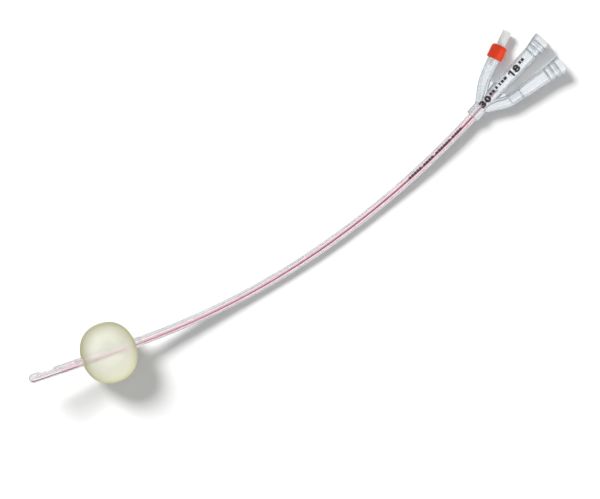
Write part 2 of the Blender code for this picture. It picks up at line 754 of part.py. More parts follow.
def make_valve_body(finish, parent):
    flange = ARM_IN_COLLAR + SEAT_GAP
    flange_end = flange + FLANGE_THICKNESS
    flange_radius = INFLATION_ARM_RADII[1]
    seat = CHAMBER_END + SEAT_THICKNESS
    outside = [
        (-STEM_LENGTH, STEM_BORE),
        (-STEM_LENGTH, STEM_RADIUS - EDGE),
        (EDGE - STEM_LENGTH, STEM_RADIUS),
        (0, STEM_RADIUS),
        (0, BARREL_RADIUS),
        (flange, BARREL_RADIUS),
        (flange, flange_radius),
        (flange_end, flange_radius),
        (flange_end, STUB_RADIUS),
        (STUB_END - EDGE, STUB_RADIUS),
        (STUB_END, STUB_RADIUS - EDGE),
    ]
    bore = [
        (STUB_END, LUER_RADII[1]),
        (seat, LUER_RADII[0]),
        (seat, SEAT_BORE),
        (CHAMBER_END, SEAT_BORE),
        (CHAMBER_END, CHAMBER_RADIUS),
        (CHAMBER_START, CHAMBER_RADIUS),
        (CHAMBER_START, STEM_BORE),
    ]
    return turned("valve_body", outside + bore, VALVE_SIDES, finish, parent, closed_loop=True)


def make_collar(finish, parent):
    """The coloured ring that clamps the valve's flange to the end of the arm."""
    bore = INFLATION_ARM_RADII[1] + BOND_GAP
    lip = COLLAR_LENGTH - COLLAR_LIP
    mouth = STUB_RADIUS + BOND_GAP
    profile = [
        (0, bore),
        (0, COLLAR_RADIUS - EDGE),
        (EDGE, COLLAR_RADIUS),
        (COLLAR_LENGTH - COLLAR_CHAMFER, COLLAR_RADIUS),
        (COLLAR_LENGTH - COLLAR_CHAMFER / 4, COLLAR_RADIUS - COLLAR_CHAMFER / 2),
        (COLLAR_LENGTH, COLLAR_RADIUS - COLLAR_CHAMFER),
        (COLLAR_LENGTH, mouth),
        (lip, mouth),
        (lip, bore),
    ]
    return turned("valve_collar", profile, COLLAR_SIDES, finish, parent, closed_loop=True)


def make_plunger(finish, parent):
    """A headed pin. The spring lifts it against the seat, and a syringe tip pushes it in."""
    top = CHAMBER_END - BOND_GAP - SEAL_THICKNESS - BOND_GAP
    head = CHAMBER_RADIUS - SLIDE_GAP
    profile = [
        (top - PLUNGER_HEAD, 0),
        (top - PLUNGER_HEAD, head),
        (top, head),
        (top, PLUNGER_STEM_RADIUS),
        (top + PLUNGER_STEM_LENGTH - EDGE, PLUNGER_STEM_RADIUS),
        (top + PLUNGER_STEM_LENGTH, PLUNGER_STEM_RADIUS - EDGE),
        (top + PLUNGER_STEM_LENGTH, 0),
    ]
    return turned("valve_plunger", profile, VALVE_SIDES, finish, parent)


def make_seal(finish, parent):
    top = CHAMBER_END - BOND_GAP
    low = top - SEAL_THICKNESS
    bore = PLUNGER_STEM_RADIUS + BOND_GAP
    rim = CHAMBER_RADIUS - SLIDE_GAP
    profile = [(low, bore), (low, rim), (top, rim), (top, bore)]
    return turned("valve_seal", profile, VALVE_SIDES, finish, parent, closed_loop=True)


def make_spring(finish, parent):
    """A coil between the chamber's floor and the plunger's head."""
    head = CHAMBER_END - BOND_GAP - SEAL_THICKNESS - BOND_GAP - PLUNGER_HEAD
    first = CHAMBER_START + BOND_GAP + SPRING_WIRE
    last = head - BOND_GAP - SPRING_WIRE
    coil = CHAMBER_RADIUS - SLIDE_GAP - SPRING_WIRE
    rings = []
    for index in range(SPRING_TURNS * SPRING_STEPS + 1):
        turns = index / SPRING_STEPS
        angle = 2 * math.pi * turns
        out = Vector((0, math.cos(angle), math.sin(angle)))
        along = first + (last - first) * turns / SPRING_TURNS
        centre = Vector((along, 0, 0)) + out * coil
        rings.append(round_ring((centre, out, Vector((1, 0, 0))), SPRING_WIRE, SPRING_SIDES))
    return solid("valve_spring", *skin(rings), finish, parent)


def centre_footprint(root, pieces):
    """Moves the root so that the middle of the whole footprint is the origin."""
    bpy.context.view_layer.update()
    graph = bpy.context.evaluated_depsgraph_get()
    points = []
    for piece in pieces:
        shape = piece.evaluated_get(graph)
        points += [shape.matrix_world @ vertex.co for vertex in shape.data.vertices]
    for axis in (0, 1):
        low = min(point[axis] for point in points)
        high = max(point[axis] for point in points)
        root.location[axis] -= (low + high) / 2


def main():
    clear_scene()
    clear_pvc = material("clear_pvc", (0.86, 0.89, 0.93, 1), 0.12, 0.85, 1.53)
    stripe_red = material("stripe_red", (0.42, 0.07, 0.08, 1), 0.4)
    latex = material("latex", (0.84, 0.82, 0.66, 1), 0.35, 0.2)
    orange = material("collar_orange", (0.78, 0.10, 0.03, 1), 0.35)
    white = material("valve_white", (0.86, 0.87, 0.87, 1), 0.4)
    seal_rubber = material("seal_rubber", (0.05, 0.05, 0.05, 1), 0.7)
    steel = material("spring_steel", (0.62, 0.62, 0.64, 1), 0.25)

    root = empty("catheter")
    axis = empty("drainage_axis", root, (0, 0, AXIS_HEIGHT))
    inflation_end = INFLATION_AXIS.point(INFLATION_AXIS.port)
    inflation_port = empty("inflation_port", axis, inflation_end, INFLATION_PORT_ANGLE)
    irrigation_end = IRRIGATION_AXIS.point(IRRIGATION_AXIS.port)
    irrigation_port = empty("irrigation_port", axis, irrigation_end, IRRIGATION_PORT_ANGLE)

    pieces = [
        make_shaft(clear_pvc, axis),
        make_stripe(stripe_red, axis),
        make_balloon(latex, axis),
        make_hub(clear_pvc, axis),
        make_irrigation_funnel(clear_pvc, irrigation_port),
        make_valve_body(white, inflation_port),
        make_collar(orange, inflation_port),
        make_plunger(white, inflation_port),
        make_seal(seal_rubber, inflation_port),
        make_spring(steel, inflation_port),
    ]
    centre_footprint(root, pieces)


main()
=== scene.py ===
"""The looks of a three-way balloon catheter, 18 Ch with a 30 ml balloon, round its solids.

Lengths are in metres. The hub's own frame has X along the drainage funnel, from the start of the hub's
tube towards the mouth, with the drainage axis at y = z = 0. An axis is a function of the distance along
it, which gives a place, the way across and the way up.
"""

import json
import math

import bmesh
import bpy
import numpy as np
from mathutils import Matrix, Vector
from mathutils.bvhtree import BVHTree


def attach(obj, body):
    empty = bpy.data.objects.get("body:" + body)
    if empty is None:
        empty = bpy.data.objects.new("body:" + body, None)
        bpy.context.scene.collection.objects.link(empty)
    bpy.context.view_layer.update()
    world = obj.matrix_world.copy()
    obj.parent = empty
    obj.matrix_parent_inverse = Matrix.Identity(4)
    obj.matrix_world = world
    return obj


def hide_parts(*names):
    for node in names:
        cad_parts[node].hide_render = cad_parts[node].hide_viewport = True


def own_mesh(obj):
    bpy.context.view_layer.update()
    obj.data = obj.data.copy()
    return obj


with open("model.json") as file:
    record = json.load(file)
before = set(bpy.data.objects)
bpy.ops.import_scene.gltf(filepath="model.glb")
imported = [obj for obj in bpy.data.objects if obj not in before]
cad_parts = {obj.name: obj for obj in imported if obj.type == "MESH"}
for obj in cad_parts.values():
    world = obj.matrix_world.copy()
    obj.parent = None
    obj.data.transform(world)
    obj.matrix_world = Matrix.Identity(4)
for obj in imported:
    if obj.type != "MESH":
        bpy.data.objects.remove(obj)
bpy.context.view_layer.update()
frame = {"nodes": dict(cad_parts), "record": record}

MM = 0.001
BODY = "catheter"

# Where the hub's frame lies
RIM_X = 67.5 * MM
RIM_RADIUS = 6.4 * MM
AXIS_HEIGHT = RIM_RADIUS
MOUNTS = {mount["name"]: Vector(mount["pos_m"]) for mount in frame["record"]["mounts"]}
MOUTH = MOUNTS["drainage_mouth"]
ORIGIN = Vector((MOUTH.x - RIM_X, MOUTH.y, AXIS_HEIGHT))

# Camera: straight down, turned so that the catheter runs from the lower left to the upper right
IMAGE_CENTRE = ORIGIN + Vector((-141.0 * MM, 24.15 * MM, -2.4 * MM))
VIEW_WIDTH = 392.2 * MM
CAMERA_TURN = math.radians(-47.4)
LENS = 300.0
SENSOR = 36.0
NEAR_CLIP = 0.1
FAR_CLIP = 50

# Shaft
SHAFT_RADIUS = 3.0 * MM
SHAFT_FREE_LENGTH = 342.5 * MM
SOCKET_DEPTH = 23.5 * MM
HUB_START = -1.0 * MM
SHAFT_WALL = 0.6 * MM
SEPTUM = 0.55 * MM
SHAFT_SIDES = 64
STATION_PITCH = 2.5 * MM
AXIS_STEP = 1 * MM
DOME_STEPS = 12
STRIPE_WIDTH = 0.8 * MM
STRIPE_DEPTH = 0.3 * MM
STRIPE_COVER = 0.08 * MM  # clear wall over the stripe
STRIPE_END = math.radians(45)
STRIPE_STEPS = 7
TWIST_AT_HUB = math.radians(3)
TWIST_AT_TIP = math.radians(44)
IRRIGATION_LUMEN = (1.25 * MM, 0.75 * MM)  # half width and half height
IRRIGATION_OFFSET = -0.55 * MM
IRRIGATION_LUMEN_HEIGHT = SHAFT_RADIUS - STRIPE_DEPTH - SHAFT_WALL - IRRIGATION_LUMEN[1]
IRRIGATION_LUMEN_SIDES = 24
DRAINAGE_FILLET = 0.3 * MM
DRAINAGE_STEPS = 25
DRAINAGE_FILLET_STEPS = 6
INFLATION_LUMEN_RADIUS = 0.4 * MM
INFLATION_LUMEN_PLACE = (1.72 * MM, 0.85 * MM)
INFLATION_LUMEN_SIDES = 16
LUMEN_RUN_ON = 2.0 * MM
OVERSHOOT = 1.0 * MM  # how far a cutter runs on past the face that it opens

# How the shaft lies: its slow bends, each as a length and the angle that it turns through
BENDS = (
    (122 * MM, math.radians(11.8)),
    (133 * MM, math.radians(15.1)),
    (90 * MM, math.radians(2.6)),
)
DROP_LENGTH = 95 * MM
LIFT_LENGTH = 140 * MM

# Eyes: each place is the distance back from the nose, the angle round the shaft and the tilt
NOSE_WALL = 1.2 * MM
EYE_RISE = 0.35 * MM
SIDE_EYE = (12.0 * MM, math.radians(-46), math.radians(7))
SIDE_EYE_SIZE = (6.3 * MM, 4.5 * MM, 2.1 * MM)
UNDER_EYE = (26.0 * MM, math.radians(-136), 0.0)
UNDER_EYE_SIZE = (5.0 * MM, 1.6 * MM, 2.0 * MM)
IRRIGATION_EYE = (25.0 * MM, math.radians(130), 0.0)
IRRIGATION_EYE_SIZE = (2.2 * MM, 0.9 * MM, 1.4 * MM)
EYE_STEPS = 24
EYE_SIDES = 32
HOLE_RADIUS = 0.35 * MM
IRRIGATION_HOLE_RADIUS = 0.6 * MM
HOLE_SIDES = 12

# Balloon
BALLOON_FROM_NOSE = 55.3 * MM
BALLOON_HALF_LENGTH = 18.1 * MM
BALLOON_RADIUS = 19.9 * MM
BALLOON_WALL = 0.3 * MM
BALLOON_SQUARENESS = 2.25
BALLOON_COLLAR = 5.0 * MM
BALLOON_SKIRT = ((3, 0.8), (1, 0.5), (0, 0))  # a bonded end's taper: way to its end and thickness, in walls
BALLOON_FLAT = 0.6 * MM
BALLOON_SIDES = 96
BALLOON_STEPS = 64
BOND_GAP = 0.1 * MM

# Hub
SLEEVE_RADIUS = 4.8 * MM
SLEEVE_LENGTH = 7.5 * MM
SLEEVE_TAPER = 2.4 * MM
SLEEVE_TAPER_STEPS = 8
TUBE_RADIUS = 4.4 * MM
TUBE_END_RADIUS = 4.85 * MM
TUBE_BORE = 3.15 * MM
TUBE_END_BORE = 3.55 * MM
SOCKET_LIP = 0.5 * MM
THROAT_LENGTH = 4.8 * MM
SEAT_GAP = 0.3 * MM
HUB_SIDES = 96
ARM_SIDES = 64
ARM_PITCH = 1.0 * MM
HUB_VOXEL = 0.3 * MM
HUB_SMOOTHING = 8
RIM_BORE = 5.3 * MM
MOUTH_LENGTH = 13.0 * MM
FLARE_STEPS = 14
GRIP_COUNT = 3
GRIP_PITCH = 4.0 * MM
GRIP_START = 0.35 * MM
GRIP_DROP = (RIM_BORE - TUBE_END_BORE) / GRIP_COUNT
RIB = 0.22 * MM
RIB_FADE = 0.25 * MM
RIB_REACH = 0.15 * MM  # how far outside the bore a point still counts as on it
EDGE_BAND = 0.35 * MM
EDGE = 0.25 * MM
WEB_THICKNESS = 2.0 * MM
WEB_END_X = 26.8 * MM
WEB_HOLLOW = 2.4 * MM
WEB_STEPS = 16

# Arms: where each leaves the hub's axis, its angle, first run, bend radius, angle at the port and last run
INFLATION_ARM = (5.9 * MM, math.radians(34), 13.0 * MM, 40.0 * MM, math.radians(17), 9.5 * MM)
INFLATION_ARM_RADII = (3.3 * MM, 4.1 * MM)
INFLATION_BORES = (1.1 * MM, 2.6 * MM)
IRRIGATION_ARM = (5.5 * MM, math.radians(-33), 17.5 * MM, 12.0 * MM, math.radians(-12.6), 8.0 * MM)
IRRIGATION_ARM_RADII = (3.4 * MM, 4.3 * MM)
IRRIGATION_BORES = (1.7 * MM, 2.2 * MM)

# Valve
COLLAR_LENGTH = 9.5 * MM
COLLAR_RADIUS = 5.35 * MM
COLLAR_LIP = 1.1 * MM
COLLAR_CHAMFER = 1.5 * MM
ARM_IN_COLLAR = 7.0 * MM
STEM_LENGTH = 4.6 * MM
STEM_RADIUS = 1.9 * MM
STEM_BORE = 1.0 * MM
BARREL_RADIUS = 2.95 * MM
FLANGE_THICKNESS = 0.8 * MM
STUB_END = 19.9 * MM
STUB_RADIUS = 2.85 * MM
CHAMBER_START = 0.4 * MM
CHAMBER_END = 8.0 * MM
CHAMBER_RADIUS = 2.1 * MM
SEAT_THICKNESS = 0.8 * MM
SEAT_BORE = 1.2 * MM
LUER_RADII = (1.97 * MM, 2.2 * MM)
VALVE_SIDES = 72
SLIDE_GAP = 0.2 * MM
PLUNGER_HEAD = 0.8 * MM
SEAL_THICKNESS = 0.8 * MM
SPRING_TURNS = 5
SPRING_WIRE = 0.18 * MM
SPRING_STEPS = 32
SPRING_SIDES = 12

# Irrigation funnel
SPIGOT_LENGTH = 8.6 * MM
SPIGOT_RADIUS = 3.0 * MM
SPIGOT_BORE = 2.2 * MM
FUNNEL_LENGTH = 33.0 * MM
FUNNEL_RADIUS = 4.5 * MM
FUNNEL_END_RADIUS = 5.05 * MM
FUNNEL_BORE = 3.2 * MM
FUNNEL_THROAT_LENGTH = 4.5 * MM

# Print: a numeral is its name, text and box, and a mark is its place along the hub and its width
PRINT_PITCH = 0.3 * MM
PRINT_LIFT = 0.02 * MM
PRINT_THICKNESS = 0.04 * MM
NUMERALS = (
    ("numeral_three", "3", 7.4 * MM, 11.4 * MM, -1.9 * MM, 2.7 * MM),
    ("numeral_zero", "0", 12.0 * MM, 16.2 * MM, -1.9 * MM, 2.7 * MM),
    ("numeral_eight", "8", 39.2 * MM, 43.8 * MM, -2.2 * MM, 2.7 * MM),
)
NUMERAL_WEIGHT = 0.06
NUMERAL_STEPS = 4
ONE_BAR = (36.6 * MM, 1.4 * MM, -2.2 * MM, 2.7 * MM)
ONE_FLAG = (1.5 * MM, 0.9 * MM, 1.3 * MM)  # reach, drop and thickness
MARK_LOW = 0.3 * MM
MARK_HIGH = 2.2 * MM
MARKS = (
    (17.0 * MM, 2.1 * MM),
    (19.5 * MM, 1.8 * MM),
    (22.8 * MM, 1.5 * MM),
    (26.0 * MM, 1.3 * MM),
    (28.1 * MM, 2.0 * MM),
    (30.6 * MM, 2.4 * MM),
    (45.0 * MM, 1.8 * MM),
    (47.3 * MM, 2.0 * MM),
)
SHAFT_MARKS = ((10.4 * MM, 4), (20.8 * MM, 6), (36.4 * MM, 4), (47.0 * MM, 5))  # place and number of blocks
SHAFT_MARK_SIZE = (1.7 * MM, 1.8 * MM)
SHAFT_MARK_PITCH = 2.3 * MM
SHAFT_MARK_SIDE = 0.25 * MM

# Colours: an edge's is that of skin seen on end, painted shade on the clear PVC and, on the balloon's latex,
# a thicker skin's yellower tint darkened further as painted shade; a pair is two that a surface is mottled
# with
TUBE_COLOUR = (0.945, 0.972, 0.98, 1)
# Painted shade: the clear tube's darker grey-blue where its skin is seen on end
TUBE_EDGE_SHADE = (0.38, 0.43, 0.46, 1)
HUB_COLOUR = (0.925, 0.94, 0.955, 1)
# Painted shade: the hub's darker grey-blue where its skin is seen on end
HUB_EDGE_SHADE = (0.24, 0.27, 0.31, 1)
# Painted glow: the stripe's red, carried by refraction, painted into the clear wall round it
PAINTED_GLOW_PINK = (0.97, 0.60, 0.655, 1)
# Painted shade: the dark bars at the grip ribs and the lines at the moulding ends
RIB_SHADE = (0.30, 0.36, 0.42, 1)
PVC_DEPTH_COLOUR = (0.62, 0.70, 0.76, 1)
CREAM = ((0.87, 0.865, 0.765, 1), (0.84, 0.835, 0.735, 1))
# The balloon's inner face: the latex cream darkened as painted shade
LINING_SHADED_CREAM = ((0.70, 0.71, 0.62, 1), (0.68, 0.69, 0.60, 1))
# Latex seen on end: a thicker skin's yellower tint, darkened further as painted shade
LATEX_EDGE_TINT_AND_SHADE = (0.42, 0.415, 0.22, 1)
BONDED_LATEX = ((0.93, 0.92, 0.88, 1), (0.90, 0.89, 0.84, 1))
BONDED_EDGE = (0.82, 0.82, 0.72, 1)
STRIPE_RED = ((0.09, 0.009, 0.015, 1), (0.12, 0.013, 0.021, 1))
VALVE_WHITE = ((0.88, 0.88, 0.88, 1), (0.93, 0.93, 0.93, 1))
COLLAR_ORANGE = ((0.60, 0.034, 0.004, 1), (0.68, 0.048, 0.007, 1))
SEAL_BLACK = ((0.03, 0.03, 0.03, 1), (0.05, 0.05, 0.05, 1))
INK_BLACK = (0.012, 0.012, 0.014, 1)
SPRING_STEEL = (0.62, 0.62, 0.64, 1)
WHITE = (1, 1, 1, 1)

# Surfaces: a grain is the scale and swing of the roughness, then the relief's scale, detail, strength
# and depth. A turn is how far skin is turned from facing you where an edge's look starts and is full:
# the painted shade on clear PVC, and on latex the tint, its painted shade and the thicker veil.
PVC_GRAIN = (150, 0.02, 100, 1.0, 0.02, 0.03 * MM)
LATEX_GRAIN = (300, 0.03, 500, 3.0, 0.05, 0.02 * MM)
MOULDED_GRAIN = (900, 0.05, 1600, 3.0, 0.1, 0.02 * MM)
FINE_GRAIN = 900
LATEX_MOTTLE = (90, 4.0)
MOULDED_MOTTLE = (220, 3.0)
STRIPE_MOTTLE = (300, 3.0)
NOISE_DETAIL = 3.0
NOISE_MIDDLE = (0.3, 0.7)
PVC_TURN = (0.28, 0.66)
LATEX_TURN = (0.15, 0.8)
PVC_DENSITY = 70.0
PVC_IOR = 1.53
PVC_SHINE = 0.3
LATEX_IOR = 1.52
LATEX_SHINE = 0.22
STRIPE_ROUGHNESS = 0.45

# The stripe's painted glow in the clear wall, its red that refraction carries round the shaft: its half width
# round the shaft, and what is left of it far away
GLOW_ANGLE = math.radians(54)
GLOW_ANGLE_AT_NOSE = math.radians(32)
GLOW_FAR = 0.03

# Stage
FLOOR_SIZE = 12.0
FLOOR_COLOUR = (0.78, 0.78, 0.78, 1)
FLOOR_GLOW = 0.04
FLOOR_THROUGH = 0.4  # how far the floor looks plain white through a clear piece
ZENITH = 0.5
ZENITH_FROM = 0.8
HORIZON = 0.32
SKY_THROUGH = 0.8
SHADOW_LAMP = (4.0, math.radians(22), math.radians(44), math.radians(87.5))  # strength, size, height and turn

# Soft boxes: where each stands round the catheter and over it, its width, length, distance and brightness
SOFT_BOXES = (
    ("near_box", math.radians(-103), math.radians(38), 0.9, 3.2, 1.2, 2.75),
    ("far_box", math.radians(77), math.radians(31), 0.9, 3.2, 1.2, 1.0),
)

POLE = 1e-9
WELD = 1e-7
SHARP = 35
SHARP_ON_TUBES = 60


# Materials


def node_material(name):
    """A new material with its node tree, shader and output."""
    made = bpy.data.materials.new(name)
    made.use_nodes = True
    tree = made.node_tree
    return made, tree, tree.nodes["Principled BSDF"], tree.nodes["Material Output"]


def plug(tree, node, inputs):
    """Sets a node's inputs, each to a plain value or to another node's output."""
    for name, value in inputs.items():
        if isinstance(value, bpy.types.NodeSocket):
            tree.links.new(value, node.inputs[name])
        else:
            node.inputs[name].default_value = value


def add(tree, kind, output, inputs=None, **settings):
    """Adds a node with these settings and inputs, and gives one of its outputs."""
    node = tree.nodes.new(kind)
    for name, value in settings.items():
        setattr(node, name, value)
    plug(tree, node, inputs or {})
    return node.outputs[output]


def maths(tree, operation, first, second):
    return add(tree, "ShaderNodeMath", "Value", {0: first, 1: second}, operation=operation)


def mapped(tree, value, span, low, high):
    """A number that goes from low to high as the value crosses a span."""
    inputs = {"Value": value, "From Min": span[0], "From Max": span[1], "To Min": low, "To Max": high}
    return add(tree, "ShaderNodeMapRange", "Result", inputs)


def mixed(tree, share, first, second):
    inputs = {"Factor": share, "A": first, "B": second}
    return add(tree, "ShaderNodeMix", "Result", inputs, data_type="RGBA")


def noise(tree, low, high, scale, detail=NOISE_DETAIL):
    """A number that wanders between low and high. The scale is in spots per metre."""
    place = add(tree, "ShaderNodeTexCoord", "Object")
    value = add(tree, "ShaderNodeTexNoise", "Fac", {"Vector": place, "Scale": scale, "Detail": detail})
    return mapped(tree, value, NOISE_MIDDLE, low, high)


def mottled(tree, colours, mottle):
    """A colour that wanders between two."""
    return mixed(tree, noise(tree, 0, 1, *mottle), *colours)


def seen_on_end(tree, turn, low, high):
    """A number that goes from low, on skin that faces you, to high, on skin that is seen on end."""
    facing = add(tree, "ShaderNodeLayerWeight", "Facing", {"Blend": 0.5})
    return mapped(tree, facing, turn, low, high)


def height_of(tree, coordinates):
    place = add(tree, "ShaderNodeTexCoord", coordinates)
    return add(tree, "ShaderNodeSeparateXYZ", "Z", {"Vector": place})


def ray(tree, kind):
    return add(tree, "ShaderNodeLightPath", f"Is {kind} Ray")


def grain_of(tree, grain, roughness):
    """A surface's varied roughness and its fine relief, as a shader's inputs."""
    scale, swing, relief_scale, detail, strength, depth = grain
    place = add(tree, "ShaderNodeTexCoord", "Object")
    relief = {"Vector": place, "Scale": relief_scale, "Detail": detail}
    height = add(tree, "ShaderNodeTexNoise", "Fac", relief)
    bump = {"Height": height, "Strength": strength, "Distance": depth}
    return {
        "Roughness": noise(tree, roughness - swing, roughness + swing, scale),
        "Normal": add(tree, "ShaderNodeBump", "Normal", bump),
    }


def clear_pvc(name, colour, edge_shade_and_tint, mark, painted_light_colour, clearness, roughness):
    """Clear soft PVC: faintly milky, bluer with the way that light takes in it, darker as painted shade where
    its skin is seen on end, and tinted where marked with painted light: a glow round the stripe, shade at
    ribs and ends.
    """
    made, tree, shader, output = node_material(name)
    marked = add(tree, "ShaderNodeAttribute", "Fac", attribute_name=mark)
    # Where marked, the colour is painted light: the stripe's glow on the tube, shade at the hub's ribs and
    # ends
    tint = mixed(tree, marked, colour, painted_light_colour)
    inputs = {
        # Painted shade: the colour darkens towards the edge colour where the skin is seen on end
        "Base Color": mixed(tree, seen_on_end(tree, PVC_TURN, 0, 1), tint, edge_shade_and_tint),
        "Transmission Weight": clearness,
        "IOR": PVC_IOR,
        "Specular IOR Level": PVC_SHINE,
    }
    plug(tree, shader, inputs | grain_of(tree, PVC_GRAIN, roughness))
    depth = {"Color": PVC_DEPTH_COLOUR, "Density": PVC_DENSITY}
    plug(tree, output, {"Volume": add(tree, "ShaderNodeVolumeAbsorption", "Volume", depth)})
    return made


def latex(name, colours, edge_shade_and_tint, veil, edge_veil, roughness, shade=0.0, depth_veil=0.0):
    """Thin stretched latex: a veil that lets light through, thicker and yellower where it is seen on end, and
    darker there as painted shade.

    The shade is how much of a shadow it throws. The depth veil is how milky the filling makes the
    lowest skin look from above.
    """
    made, tree, shader, _ = node_material(name)
    tint = mottled(tree, colours, LATEX_MOTTLE)
    opacity = seen_on_end(tree, LATEX_TURN, veil, edge_veil)
    if shade:
        opacity = maths(tree, "MAXIMUM", opacity, maths(tree, "MULTIPLY", ray(tree, "Shadow"), shade))
    if depth_veil:
        depth = mapped(tree, height_of(tree, "Object"), (0, BALLOON_RADIUS), depth_veil, 0)
        opacity = maths(tree, "MAXIMUM", opacity, depth)
    inputs = {
        # The edge colour: a thicker skin's yellower tint, darkened as painted shade
        "Base Color": mixed(tree, seen_on_end(tree, LATEX_TURN, 0, 1), tint, edge_shade_and_tint),
        "Alpha": opacity,
        "IOR": LATEX_IOR,
        "Specular IOR Level": LATEX_SHINE,
    }
    plug(tree, shader, inputs | grain_of(tree, LATEX_GRAIN, roughness))
    return made


def moulded(name, colours, roughness, clearness=0.0, shine=0.5):
    """A moulded plastic, faintly mottled, with a fine skin."""
    made, tree, shader, _ = node_material(name)
    inputs = {
        "Base Color": mottled(tree, colours, MOULDED_MOTTLE),
        "Transmission Weight": clearness,
        "Specular IOR Level": shine,
    }
    plug(tree, shader, inputs | grain_of(tree, MOULDED_GRAIN, roughness))
    return made


def stripe_plastic():
    made, tree, shader, _ = node_material("stripe")
    tint = mottled(tree, STRIPE_RED, STRIPE_MOTTLE)
    plug(tree, shader, {"Base Color": tint, "Roughness": STRIPE_ROUGHNESS})
    return made


def fine(name, colour, smoothest, roughest, metallic=0.0):
    """One colour, with a roughness that varies finely."""
    made, tree, shader, _ = node_material(name)
    roughness = noise(tree, smoothest, roughest, FINE_GRAIN)
    plug(tree, shader, {"Base Color": colour, "Metallic": metallic, "Roughness": roughness})
    return made


# Mesh helpers


def skin(rings, closed_loop=False):
    """Points and faces over a row of rings. A ring of one point is a pole, and open ends get flat caps."""
    points = [point for ring in rings for point in ring]
    starts = [0]
    for ring in rings:
        starts.append(starts[-1] + len(ring))
    faces = []
    pairs = list(zip(range(len(rings) - 1), range(1, len(rings))))
    if closed_loop:
        pairs.append((len(rings) - 1, 0))
    for first, second in pairs:
        count = max(len(rings[first]), len(rings[second]))
        for side in range(count):
            following = (side + 1) % count
            corners = []
            for ring, index in ((first, side), (first, following), (second, following), (second, side)):
                corner = starts[ring] + index % len(rings[ring])
                if corner not in corners:
                    corners.append(corner)
            faces.append(corners)
    if not closed_loop and len(rings[0]) > 1:
        faces.append([starts[0] + index for index in reversed(range(len(rings[0])))])
    if not closed_loop and len(rings[-1]) > 1:
        faces.append([starts[-2] + index for index in range(len(rings[-1]))])
    return points, faces


def smooth(mesh, sharp=SHARP):
    mesh.shade_smooth()
    mesh.set_sharp_from_angle(angle=math.radians(sharp))


def placed(name, mesh):
    """A mesh's object, in the scene."""
    made = bpy.data.objects.new(name, mesh)
    bpy.context.scene.collection.objects.link(made)
    return made


def flat(name, points, faces):
    mesh = bpy.data.meshes.new(name)
    mesh.from_pydata([tuple(point) for point in points], [], faces)
    return mesh


def solid(name, points, faces):
    """A mesh object with its faces pointing out."""
    mesh = flat(name, points, faces)
    mesh.calc_loop_triangles()
    corners = np.array([vertex.co for vertex in mesh.vertices])
    triangles = np.array([triangle.vertices for triangle in mesh.loop_triangles])
    first, second, third = (corners[triangles[:, index]] for index in range(3))
    if (first * np.cross(second, third)).sum() < 0:
        mesh.flip_normals()
    smooth(mesh)
    return placed(name, mesh)


def hub_line(along):
    return ORIGIN + Vector((along, 0, 0)), Vector((0, 1, 0)), Vector((0, 0, 1))


def round_ring(frame_at, radius, sides):
    centre, across, up = frame_at
    if radius < POLE:
        return [centre]
    angles = [2 * math.pi * index / sides for index in range(sides)]
    return [centre + across * radius * math.cos(angle) + up * radius * math.sin(angle) for angle in angles]


def turned(name, profile, sides, axis=hub_line, closed_loop=False):
    """A piece turned about an axis, from (distance along, radius) pairs."""
    rings = [round_ring(axis(along), radius, sides) for along, radius in profile]
    return solid(name, *skin(rings, closed_loop))


def evenly(first, last, pitch):
    """Places from first to last, about a pitch apart."""
    count = math.ceil((last - first) / pitch)
    return [first + (last - first) * index / count for index in range(count + 1)]


def evaluate(piece):
    """Replaces a piece's mesh by what its modifiers make of it."""
    bpy.context.view_layer.update()
    graph = bpy.context.evaluated_depsgraph_get()
    mesh = bpy.data.meshes.new_from_object(piece.evaluated_get(graph))
    piece.modifiers.clear()
    piece.data = mesh


def cut(piece, cutters):
    """Cuts a piece with closed cutters, which are then deleted."""
    for cutter in cutters:
        step = piece.modifiers.new(cutter.name, "BOOLEAN")
        step.operation = "DIFFERENCE"
        step.solver = "MANIFOLD"
        step.object = cutter
    evaluate(piece)
    for cutter in cutters:
        bpy.data.objects.remove(cutter)


def join(name, pieces):
    """One object that holds all these meshes."""
    made = bmesh.new()
    for piece in pieces:
        made.from_mesh(piece.data)
        bpy.data.objects.remove(piece)
    mesh = bpy.data.meshes.new(name)
    made.to_mesh(mesh)
    made.free()
    return placed(name, mesh)


def finished(piece, finish, replaces=None, sharp=SHARP):
    """Gives a piece its material and its place on a body."""
    piece.data.materials.clear()
    piece.data.materials.append(finish)
    smooth(piece.data, sharp)
    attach(piece, BODY)
    if replaces:
        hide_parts(replaces)
    return piece


def mark_points(piece, name, values):
    """Keeps a number for each point, which a material reads."""
    attribute = piece.data.attributes.new(name, "FLOAT", "POINT")
    attribute.data.foreach_set("value", values.astype(np.float32))


# Axes


def clamped(value, top=1):
    return min(max(value, 0), top)


class ArmAxis:
    """An axis in the hub's plane that leaves the tube at an angle, bends once and runs on straight."""

    def __init__(self, start, angle, run, bend_radius, port_angle, end_run):
        self.angle = angle
        self.run = run
        self.turn = port_angle - angle
        self.bend_radius = bend_radius
        self.arc = abs(self.turn) * bend_radius
        self.start = Vector((start, 0, 0))
        self.port = run + self.arc + end_run
        self.port_angle = port_angle

    @staticmethod
    def way(angle):
        return Vector((math.cos(angle), math.sin(angle), 0))

    def point(self, along):
        place = self.start + self.way(self.angle) * min(along, self.run)
        bent = clamped(along - self.run, self.arc)
        if bent > 0:
            middle = self.angle + self.turn * bent / self.arc / 2
            place += self.way(middle) * 2 * self.bend_radius * math.sin(bent / self.bend_radius / 2)
        return place + self.way(self.port_angle) * max(along - self.run - self.arc, 0)

    def __call__(self, along):
        share = clamped((along - self.run) / self.arc)
        heading = self.angle + self.turn * share
        across = Vector((-math.sin(heading), math.cos(heading), 0))
        return ORIGIN + self.point(along), across, Vector((0, 0, 1))

    def port_line(self, along):
        """The straight axis of the port, measured from it."""
        centre, across, up = self(self.port)
        return centre + across.cross(up) * along, across, up


INFLATION_AXIS = ArmAxis(*INFLATION_ARM)
IRRIGATION_AXIS = ArmAxis(*IRRIGATION_ARM)


